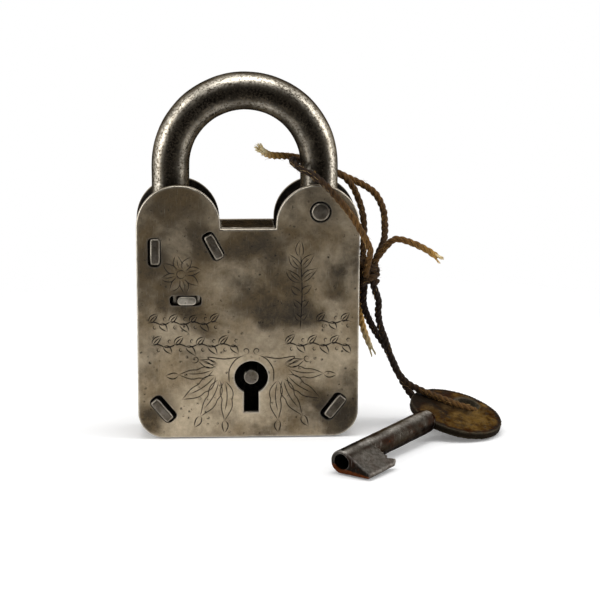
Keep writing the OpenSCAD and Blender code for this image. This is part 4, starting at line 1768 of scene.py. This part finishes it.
@dataclass
class Yarn:
    """Collects the skins of twisted strands and loose fibres into one mesh."""

    seed: int = 1
    points: list[np.ndarray] = field(default_factory=list)
    faces: Faces = field(default_factory=list)
    tone: list[np.ndarray] = field(default_factory=list)
    groove: list[np.ndarray] = field(default_factory=list)
    along: list[np.ndarray] = field(default_factory=list)
    total: int = 0

    def frames(self, line: np.ndarray) -> tuple[np.ndarray, np.ndarray, np.ndarray]:
        """Gives the direction and two sides at each point, carried along so that they never flip.

        Args:
            line: One row a point.

        Returns:
            The directions, the first sides and the second sides.
        """
        way = np.gradient(line, axis=0)
        way /= np.linalg.norm(way, axis=1)[:, None]
        side = np.array([0.3, 1.0, 0.2])
        sides = []
        for t in way:
            side = side - (side @ t) * t
            side /= np.linalg.norm(side)
            sides.append(side)
        first = np.array(sides)
        return way, first, np.cross(way, first)

    def strand(
        self,
        line: np.ndarray,
        radius: np.ndarray,
        tone: np.ndarray,
        plies: int = 3,
        pitch: float = 6.6,
        around: int = 24,
        crease: float = 0.42,
    ) -> None:
        """Adds a strand of twisted plies with closed ends.

        Args:
            line: Its centre line, evenly spaced, in mm.
            radius: Its radius at each point.
            tone: Its lightness at each point, 0 dark to 1 golden.
            plies: How many plies are twisted together; 1 is a plain fibre.
            pitch: Length of one full twist.
            around: Corners in each ring.
            crease: How deep the creases between the plies are, as a share of the radius.
        """
        _, u, v = self.frames(line)
        run = np.concatenate([[0], np.cumsum(np.linalg.norm(np.diff(line, axis=0), axis=1))])
        turn = np.linspace(0, 2 * math.pi, around, endpoint=False)
        uneven = 1 + 0.07 * ripple(np.column_stack([run, run * 0, run * 0]), 3.1, self.seed)
        rings, creases, marks = [], [], []
        for i, centre in enumerate(line):
            twist = 2 * math.pi * run[i] / pitch
            own = (turn - twist) * plies / 2
            deep = 1 - np.abs(np.cos(own)) ** 0.8 if plies > 1 else np.zeros(around)
            r = radius[i] * uneven[i] * (1 - crease * deep)
            rings.append(centre + (np.cos(turn) * r)[:, None] * u[i] + (np.sin(turn) * r)[:, None] * v[i])
            # How deep the crease is here, which the finish paints as shade
            creases.append(np.clip(deep - 0.35, 0, 1) * 0.9)
            lay = np.mod(turn - twist, 2 * math.pi)
            marks.append(np.stack([lay * radius[i], np.full(around, run[i])], axis=1))
        base, n = self.total, around
        self.points += rings
        self.groove.append(np.concatenate(creases))
        self.along.append(np.vstack(marks))
        self.tone.append(np.repeat(tone, around))
        self.total += len(line) * n
        for r in range(len(line) - 1):
            for k in range(n):
                a, b = base + r * n + k, base + r * n + (k + 1) % n
                self.faces.append((a, b, b + n, a + n))
        self.faces.append(tuple(base + k for k in reversed(range(n))))
        self.faces.append(tuple(base + (len(line) - 1) * n + k for k in range(n)))

    def fuzz(self, line: np.ndarray, radius: float, tone: float, count: int, reach: float) -> None:
        """Adds loose fibres that lift off a strand.

        Args:
            line: The strand's centre line.
            radius: The strand's radius.
            tone: The fibres' lightness.
            count: How many.
            reach: How far they stand off at most.
        """
        rng = random.Random(self.seed * 17 + 3)
        way, u, v = self.frames(line)
        for _ in range(count):
            i = rng.randrange(2, len(line) - 2)
            a = rng.uniform(0, 2 * math.pi)
            out = math.cos(a) * u[i] + math.sin(a) * v[i]
            round_way = -math.sin(a) * u[i] + math.cos(a) * v[i]
            heading = rng.choice((-1, 1)) * way[i]
            length, lift = rng.uniform(1.2, 3.4), rng.uniform(0.1, 1.0) * reach
            t = np.linspace(0, 1, 5)[:, None]
            fibre = (
                line[i]
                + out * (radius * 0.85 + lift * t**1.6)
                + heading * length * t
                + round_way * rng.uniform(-0.8, 0.8) * t**2
            )
            self.strand(
                fibre, np.linspace(0.06, 0.025, 5), np.full(5, tone + rng.uniform(-0.1, 0.35)), 1, around=3
            )

    def fray(
        self, line: np.ndarray, from_end: bool, radius: float, tone: float, prongs: int, length: float
    ) -> None:
        """Opens a strand's end into tufts of fibre.

        Args:
            line: The strand's centre line.
            from_end: Whether it is the line's last point that frays.
            radius: The strand's radius.
            tone: The tufts' lightness.
            prongs: How many tufts.
            length: How far they reach at most.
        """
        rng = random.Random(self.seed * 29 + from_end)
        way, u, v = self.frames(line)
        i, heading = (-2, way[-2]) if from_end else (1, -way[1])
        for k in range(prongs * 14):
            a = 2 * math.pi * (k % prongs) / prongs + rng.uniform(-0.35, 0.35)
            out = math.cos(a) * u[i] + math.sin(a) * v[i]
            spread = rng.uniform(0.25, 0.8) * radius
            reach = length * rng.uniform(0.55, 1.0)
            t = np.linspace(0, 1, 7)[:, None]
            tuft = line[i] - heading * 1.2 + out * (0.45 * radius + spread * t**1.5)
            tuft = tuft + heading * (reach + 1.2) * t
            thick = np.linspace(0.34, 0.08, 7) * rng.uniform(0.6, 1.1)
            self.strand(tuft, thick, np.full(7, tone + rng.uniform(-0.15, 0.3)), 1, around=6)

    def piece(self, name: str) -> bpy.types.Object:
        """Gives the mesh object of everything added.

        Args:
            name: Its name.

        Returns:
            The piece.
        """
        made = new_piece(
            name,
            np.vstack(self.points),
            self.faces,
            {"tone": np.concatenate(self.tone), "grime_and_shade": np.concatenate(self.groove)},
        )
        layer = made.data.uv_layers.new(name="fibre")
        corner = np.empty(len(made.data.loops), np.int64)
        made.data.loops.foreach_get("vertex_index", corner)
        layer.data.foreach_set("uv", np.vstack(self.along)[corner].astype(np.float32).ravel())
        return made


@dataclass
class Twine:
    """The two lengths of jute twine and the knot that joins them."""

    diameter: float = 2.3
    step: float = 0.4
    long_route: tuple[tuple[float, float, float], ...] = (
        (4.5, -2, 98), (7.5, 2, 95.5), (12.5, 6, 94.5), (17, 9, 93.5), (23.5, 11, 91.5), (29.5, 11.5, 88.5),
        (35, 11.5, 86), (40.5, 10.5, 83.5), (44.5, 9.5, 80.5), (47, 8.5, 75.5), (47.5, 6.5, 70),
        (47, 4, 65.5),
        (45, 1.5, 61.5), (43, -0.5, 57.5), (42.5, -1.5, 53.5), (43.5, -1, 49.5), (45, 0, 45), (45, 1, 40.5),
        (46, 2, 35.5), (48, 3, 30), (50, 4, 24), (52.5, 4.5, 18.5), (56, 4.5, 14.5), (60.5, 3.5, 12.2),
        (66, 1.7, 10.2), (72, -0.9, 8.3), (76.4, -1.5, 6.9), (79.6, -0.2, 5.0), (79.0, 2.4, 2.9),
        (75.5, 4, 1.8), (70.5, 5, 2), (65, 6.5, 3.8), (60, 8, 7), (56, 8.5, 12), (53, 8, 17.5),
        (50.5, 7, 23), (47.5, 6, 28.5),
        (44, 5, 34), (41.5, 3.5, 39), (40, 2, 44), (40, 0.5, 49), (40.5, 0, 54),
    )
    short_route: tuple[tuple[float, float, float], ...] = (
        (64, -9, 62), (61, -8, 64), (57, -7, 66), (52.5, -6, 67.5), (49.5, -5, 67.5), (47, -4, 65),
        (44.5, -3, 61.5), (42.5, -2.5, 57.5), (41, -3.5, 54.5), (40, -5.5, 56), (40.5, -7.5, 60),
        (41, -9.5, 64.5), (39.5, -11.2, 68.5), (37.5, -11.5, 72), (34.5, -11.5, 77), (30, -11.5, 82.5),
        (26, -11.3, 87), (22, -9.5, 90.2), (18, -7, 92), (15.5, -3, 93.5), (15.3, 1.5, 93.8), (17, 5.8, 93),
        (21, 8.4, 91.8), (26.5, 8.9, 90), (32, 9, 87.8), (36, 9.3, 84), (38.5, 9.5, 79), (40, 9, 74),
        (40.5, 7.5, 68.5), (40, 5, 63.5), (39.9, 2.8, 59), (39.6, 2.6, 54.5), (39.3, 4, 49.5),
        (39.1, 6.2, 45), (39.3, 8, 40.5), (40, 8.5, 36), (41.5, 8.5, 31), (43.5, 8, 26),
    )
    knot_centre: tuple[float, float, float] = (41.4, -1.5, 56.0)

    def toned(self, count: int, stops: Sequence[tuple[float, float]]) -> np.ndarray:
        """Gives the tone along a strand from its stops: (share of its length, tone)."""
        return np.interp(np.linspace(0, 1, count), [s for s, _ in stops], [t for _, t in stops])

    def build_long(self, finishes: FinishSet) -> tuple[bpy.types.Object, np.ndarray]:
        """Makes the twine from the arch round the key's bow and back to the knot.

        Args:
            finishes: Every finish.

        Returns:
            The piece and its line.
        """
        line = smooth_route(self.long_route, self.step)
        yarn = Yarn(seed=3)
        radius = np.full(len(line), self.diameter / 2 * 1.10)
        radius[:6] *= np.linspace(0.6, 1, 6)
        tone = self.toned(
            len(line),
            ((0, 1.0), (0.03, 0.6), (0.07, 0.2), (0.14, 0.25), (0.22, 0.2), (0.33, -0.08), (0.42, -0.14),
             (0.52, -0.08), (0.6, 0.2), (0.66, 0.25), (0.72, 0.0), (0.9, -0.1), (1, -0.1)),
        )
        yarn.strand(line, radius, tone)
        yarn.fuzz(line, self.diameter / 2, 0.45, 260, 1.0)
        yarn.fray(line, False, self.diameter / 2 * 1.2, 1.5, 6, 2.8)
        piece = yarn.piece("jute_twine_long")
        return place_piece(piece, Body.CASE, finishes.made[Slot.JUTE], Slot.JUTE, "twine_long"), line

    def build_short(self, finishes: FinishSet) -> tuple[bpy.types.Object, np.ndarray]:
        """Makes the thinner twine that is looped round the shackle's leg.

        Args:
            finishes: Every finish.

        Returns:
            The piece and its line.
        """
        line = smooth_route(self.short_route, self.step)
        yarn = Yarn(seed=8)
        radius = np.full(len(line), self.diameter / 2 * 1.04)
        radius[:4] *= np.linspace(0.8, 1, 4)
        radius[-14:] *= np.linspace(1, 0.75, 14)
        tone = self.toned(
            len(line),
            ((0, 0.55), (0.05, 0.3), (0.1, 0.2), (0.17, 0.08), (0.25, 0.21), (0.33, 0.19),
             (0.4, 0.0), (0.46, -0.1),
             (0.55, 0.12), (0.66, 0.15), (0.74, 0.05), (0.82, 0.1), (0.88, 0.4), (0.96, 0.75), (1, 1.0)),
        )
        yarn.strand(line, radius, tone, pitch=7.4)
        yarn.fuzz(line, self.diameter / 2 * 0.92, 0.5, 230, 1.0)
        yarn.fray(line, False, self.diameter / 2 * 1.1, 0.8, 3, 2.4)
        yarn.fray(line, True, self.diameter / 2 * 0.8, 1.25, 2, 3.2)
        piece = yarn.piece("jute_twine_short")
        return place_piece(piece, Body.CASE, finishes.made[Slot.JUTE], Slot.JUTE, "twine_short"), line

    def build_knot(self, finishes: FinishSet) -> bpy.types.Object:
        """Makes the knot: nearly three turns round the strands, and a turn and a quarter back over them.

        Args:
            finishes: Every finish.

        Returns:
            The piece.
        """
        yarn = Yarn(seed=12)
        t = np.linspace(0, 1, 150)
        a = 2 * math.pi * 2.9 * t
        swell = 1 + 0.22 * np.sin(math.pi * t)
        wrap = np.stack([1.95 * swell * np.cos(a), 2.1 * swell * np.sin(a), -4.1 + 7.8 * t], axis=1)
        b = 2 * math.pi * 1.25 * t + 2.2
        cross = np.stack([2.6 * np.cos(b), 2.8 * np.sin(b), 4.4 - 8.8 * t], axis=1)
        lean = Matrix.Rotation(math.radians(-10), 3, "X") @ Matrix.Rotation(math.radians(-8), 3, "Y")
        for line, size in ((wrap, 1.42), (cross, 1.28)):
            placed = line @ np.array(lean).T + self.knot_centre
            even = smooth_route(placed[::6].tolist(), 0.35)
            yarn.strand(even, np.full(len(even), size), np.full(len(even), 0.02), pitch=6.0)
            yarn.fuzz(even, size, 0.35, 30, 0.7)
        piece = yarn.piece("jute_knot")
        return place_piece(piece, Body.CASE, finishes.made[Slot.JUTE], Slot.JUTE, "twine_knot")

    def build(self, finishes: FinishSet, bow: bpy.types.Object) -> None:
        """Makes the twine and its knot.

        Args:
            finishes: Every finish.
            bow: The key's bow, which the long twine is threaded through; not used.
        """
        knot = self.build_knot(finishes)
        long_piece, long_line = self.build_long(finishes)
        short_piece, short_line = self.build_short(finishes)


# ---------------------------------------------------------------- stage


@dataclass
class Studio:
    """The camera, the pale floor and the soft lamps."""

    camera_at: tuple[float, float, float] = (-25.1, -685.5, 204.2)
    azimuth: float = 3.6
    elevation: float = 13.0
    roll: float = 0.3
    lens: float = 123.6

    def build_camera(self) -> None:
        """Makes the camera."""
        a, e, r = map(math.radians, (self.azimuth, self.elevation, self.roll))
        look = Vector((math.sin(a) * math.cos(e), math.cos(a) * math.cos(e), -math.sin(e)))
        right = Vector((math.cos(a), -math.sin(a), 0))
        up = right.cross(look)
        right, up = math.cos(r) * right + math.sin(r) * up, -math.sin(r) * right + math.cos(r) * up
        lens = bpy.data.cameras.new("camera")
        lens.sensor_width = 36.0
        lens.lens = self.lens
        lens.clip_start, lens.clip_end = 0.01, 50.0
        camera = bpy.data.objects.new("camera", lens)
        turned = Matrix((right, up, -look)).transposed().to_4x4()
        camera.matrix_world = Matrix.Translation(Vector(self.camera_at) * MM) @ turned
        bpy.context.scene.collection.objects.link(camera)
        bpy.context.scene.camera = camera

    def build_lamp(
        self, name: str, at: tuple[float, float, float], size: tuple[float, float], watts: float
    ) -> None:
        """Makes one soft lamp that looks at the case, in metres and watts.

        Args:
            name: Its name.
            at: Its place.
            size: Its two sides.
            watts: Its power.
        """
        light = bpy.data.lights.new(name, "AREA")
        light.shape = "RECTANGLE"
        light.size, light.size_y = size
        light.energy = watts
        lamp = bpy.data.objects.new(name, light)
        lamp.location = at
        lamp.rotation_euler = (Vector((0.02, 0, 0.05)) - Vector(at)).to_track_quat("-Z", "Y").to_euler()
        bpy.context.scene.collection.objects.link(lamp)

    def build_world(self) -> None:
        """Makes a surround that is white to the camera, and in reflections dark on the front's side."""
        world = bpy.data.worlds.new("studio")
        bpy.context.scene.world = world
        world.use_nodes = True
        tree = world.node_tree
        tree.nodes.clear()
        ray = add_node(tree, "ShaderNodeLightPath")
        way = add_node(tree, "ShaderNodeTexCoord").outputs["Generated"]
        parts = add_node(tree, "ShaderNodeSeparateXYZ", {0: way})
        behind = add_node(
            tree,
            "ShaderNodeMapRange",
            {"Value": parts.outputs["Y"], "From Min": -0.34, "From Max": 0.34, "To Min": 0.03, "To Max": 1.0},
            interpolation_type="SMOOTHSTEP",
        ).outputs["Result"]
        clear = add_node(
            tree, "ShaderNodeMath", {0: ray.outputs["Is Camera Ray"], 1: ray.outputs["Is Transmission Ray"]},
            operation="MAXIMUM",
        ).outputs[0]
        seen = add_node(tree, "ShaderNodeMix", {0: clear, 2: behind, 3: 1.0}, data_type="FLOAT").outputs[0]
        shown = add_node(
            tree, "ShaderNodeMath", {0: clear, 1: ray.outputs["Is Glossy Ray"]}, operation="MAXIMUM"
        ).outputs[0]
        strength = add_node(tree, "ShaderNodeMix", {0: shown, 2: 0.45, 3: seen}, data_type="FLOAT").outputs[0]
        sky = add_node(tree, "ShaderNodeBackground", {"Color": (1, 1, 1, 1), "Strength": strength})
        add_node(tree, "ShaderNodeOutputWorld", {"Surface": sky.outputs[0]})

    def build_floor(self) -> None:
        """Makes the pale floor."""
        size, height = 6.0, -0.0004
        mesh = bpy.data.meshes.new("floor")
        mesh.from_pydata(
            [(-size, -size, height), (size, -size, height), (size, size, height), (-size, size, height)],
            [],
            [(0, 1, 2, 3)],
        )
        floor = bpy.data.objects.new("floor", mesh)
        bpy.context.scene.collection.objects.link(floor)
        paper = bpy.data.materials.new("white_paper_sweep")
        paper.use_nodes = True
        tree = paper.node_tree
        tree.nodes.clear()
        place = add_node(tree, "ShaderNodeTexCoord").outputs["Object"]
        tooth = add_node(tree, "ShaderNodeTexNoise", {"Vector": place, "Scale": per_mm(1.5), "Detail": 3.0})
        tone = add_node(
            tree,
            "ShaderNodeMix",
            {0: tooth.outputs["Fac"], 6: linear("#f4f4f4"), 7: linear("#f8f8f8")},
            data_type="RGBA",
        ).outputs[2]
        seen = add_node(tree, "ShaderNodeLightPath").outputs["Is Camera Ray"]
        glow = add_node(tree, "ShaderNodeMath", {0: seen, 1: 0.15}, operation="MULTIPLY").outputs[0]
        shader = add_node(
            tree,
            "ShaderNodeBsdfPrincipled",
            {
                "Base Color": tone,
                "Roughness": 0.9,
                "Specular IOR Level": 0.1,
                "Emission Color": (1, 1, 1, 1),
                "Emission Strength": glow,
            },
        )
        away = add_node(
            tree, "ShaderNodeVectorMath", {0: place, 1: (0.02, -0.04, 0.0)}, operation="DISTANCE"
        ).outputs["Value"]
        gone = add_node(
            tree,
            "ShaderNodeMapRange",
            {"Value": away, "From Min": 0.12, "From Max": 0.30},
            interpolation_type="SMOOTHSTEP",
        ).outputs["Result"]
        clear = add_node(tree, "ShaderNodeBsdfTransparent")
        faded = add_node(tree, "ShaderNodeMixShader", {0: gone, 1: shader.outputs[0], 2: clear.outputs[0]})
        add_node(tree, "ShaderNodeOutputMaterial", {"Surface": faded.outputs[0]})
        mesh.materials.append(paper)

    def build(self) -> None:
        """Makes everything round the object."""
        bpy.context.scene.view_settings.view_transform = "Standard"
        self.build_camera()
        self.build_world()
        self.build_floor()
        self.build_lamp("lamp_left", (-0.80, -0.20, 0.24), (0.34, 1.2), 5.4)
        self.build_lamp("lamp_right", (0.80, -0.12, 0.22), (0.28, 1.1), 3.6)
        self.build_lamp("lamp_top", (0.05, -0.10, 0.95), (0.8, 0.4), 4.4)


# ---------------------------------------------------------------- the padlock


@dataclass
class Padlock:
    """Every piece of the lock, its key and its twine."""

    finishes: FinishSet = field(default_factory=FinishSet)

    def build_case(self) -> None:
        """Makes the plates, the strips, the posts and the swing pin."""
        Plate("front_plate", front=True).build(self.finishes, Ornament().build())
        Plate("back_plate", front=False).build(self.finishes, [])
        WornSolid("side_band", Body.CASE, Slot.BAND, grain=0.5, dent=0.05, seed=4.0).build(self.finishes)
        WornSolid("saddle_strip", Body.CASE, Slot.BAND, grain=0.35, dent=0.16, seed=5.0, smoke=0.65).build(
            self.finishes
        )
        for node, x, z, turn, seed in (
            ("toe_guide_outer", -31.2, 64.8, 90.0, 1.0),
            ("toe_guide_inner", -11.5, 66.3, 118.0, 2.0),
            ("lower_post_left", -29.4, 9.8, -50.0, 3.0),
            ("lower_post_right", 29.6, 10.4, 52.0, 4.0),
        ):
            PeenedPin(node, x, z, 9.0, 3.4, turn=turn, body_length=11.8, seed=seed).build(self.finishes)
        swing_pin = PeenedPin("swing_pin", 24.2, 78.0, 6.2, 6.2, squareness=2.0, bevel=0.55, seed=6.0)
        swing_pin.build(self.finishes)

    def build_works(self) -> None:
        """Makes the bolt's tongue and the key post, and dresses the inner solids as they are."""
        WornSolid("bolt_tongue", Body.BOLT, Slot.BOLT, grain=0.2, dent=0.04, dent_size=2.0, seed=7.0).build(
            self.finishes
        )
        WornSolid("key_post", Body.CASE, Slot.RIVET, grain=0.2, dent=0.05, dent_size=2.0, seed=8.0).build(
            self.finishes
        )
        for node, slot in (
            ("bolt", Slot.BOLT),
            ("bolt_guide_stud", Slot.BOLT),
            ("leaf_spring", Slot.SPRING),
            ("leaf_stud", Slot.BOLT),
            ("leaf_stop_pin", Slot.BOLT),
        ):
            inner = bpy.data.objects[node]
            inner.data.materials.clear()
            inner.data.materials.append(self.finishes.made[slot])
            LOG.info("%s keeps its solid's mesh", node)

    def build_key(self) -> bpy.types.Object:
        """Makes the key's pipe and bow.

        Returns:
            The bow, which the long twine is threaded through.
        """
        pipe = KeyPipe("key_pipe", Body.CASE, Slot.KEY, grain=0.3, dent=0.10, dent_size=4.0, seed=9.0)
        pipe.build(self.finishes)
        bow = KeyBow("key_bow", Body.CASE, Slot.BOW, grain=0.32, dent=0.07, dent_size=6.0, seed=10.0)
        return bow.build(self.finishes)

    def build(self) -> None:
        """Makes everything."""
        self.finishes.build()
        self.build_case()
        self.build_works()
        Shackle("shackle", Body.SHACKLE, Slot.SHACKLE, grain=0.45, dent=0.07, dent_size=9.0, seed=11.0).build(
            self.finishes
        )
        Twine().build(self.finishes, self.build_key())


def main() -> None:
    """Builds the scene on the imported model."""
    logging.basicConfig(level=logging.INFO, format="%(message)s")
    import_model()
    Studio().build()
    Padlock().build()


if __name__ == "__main__":
    main()
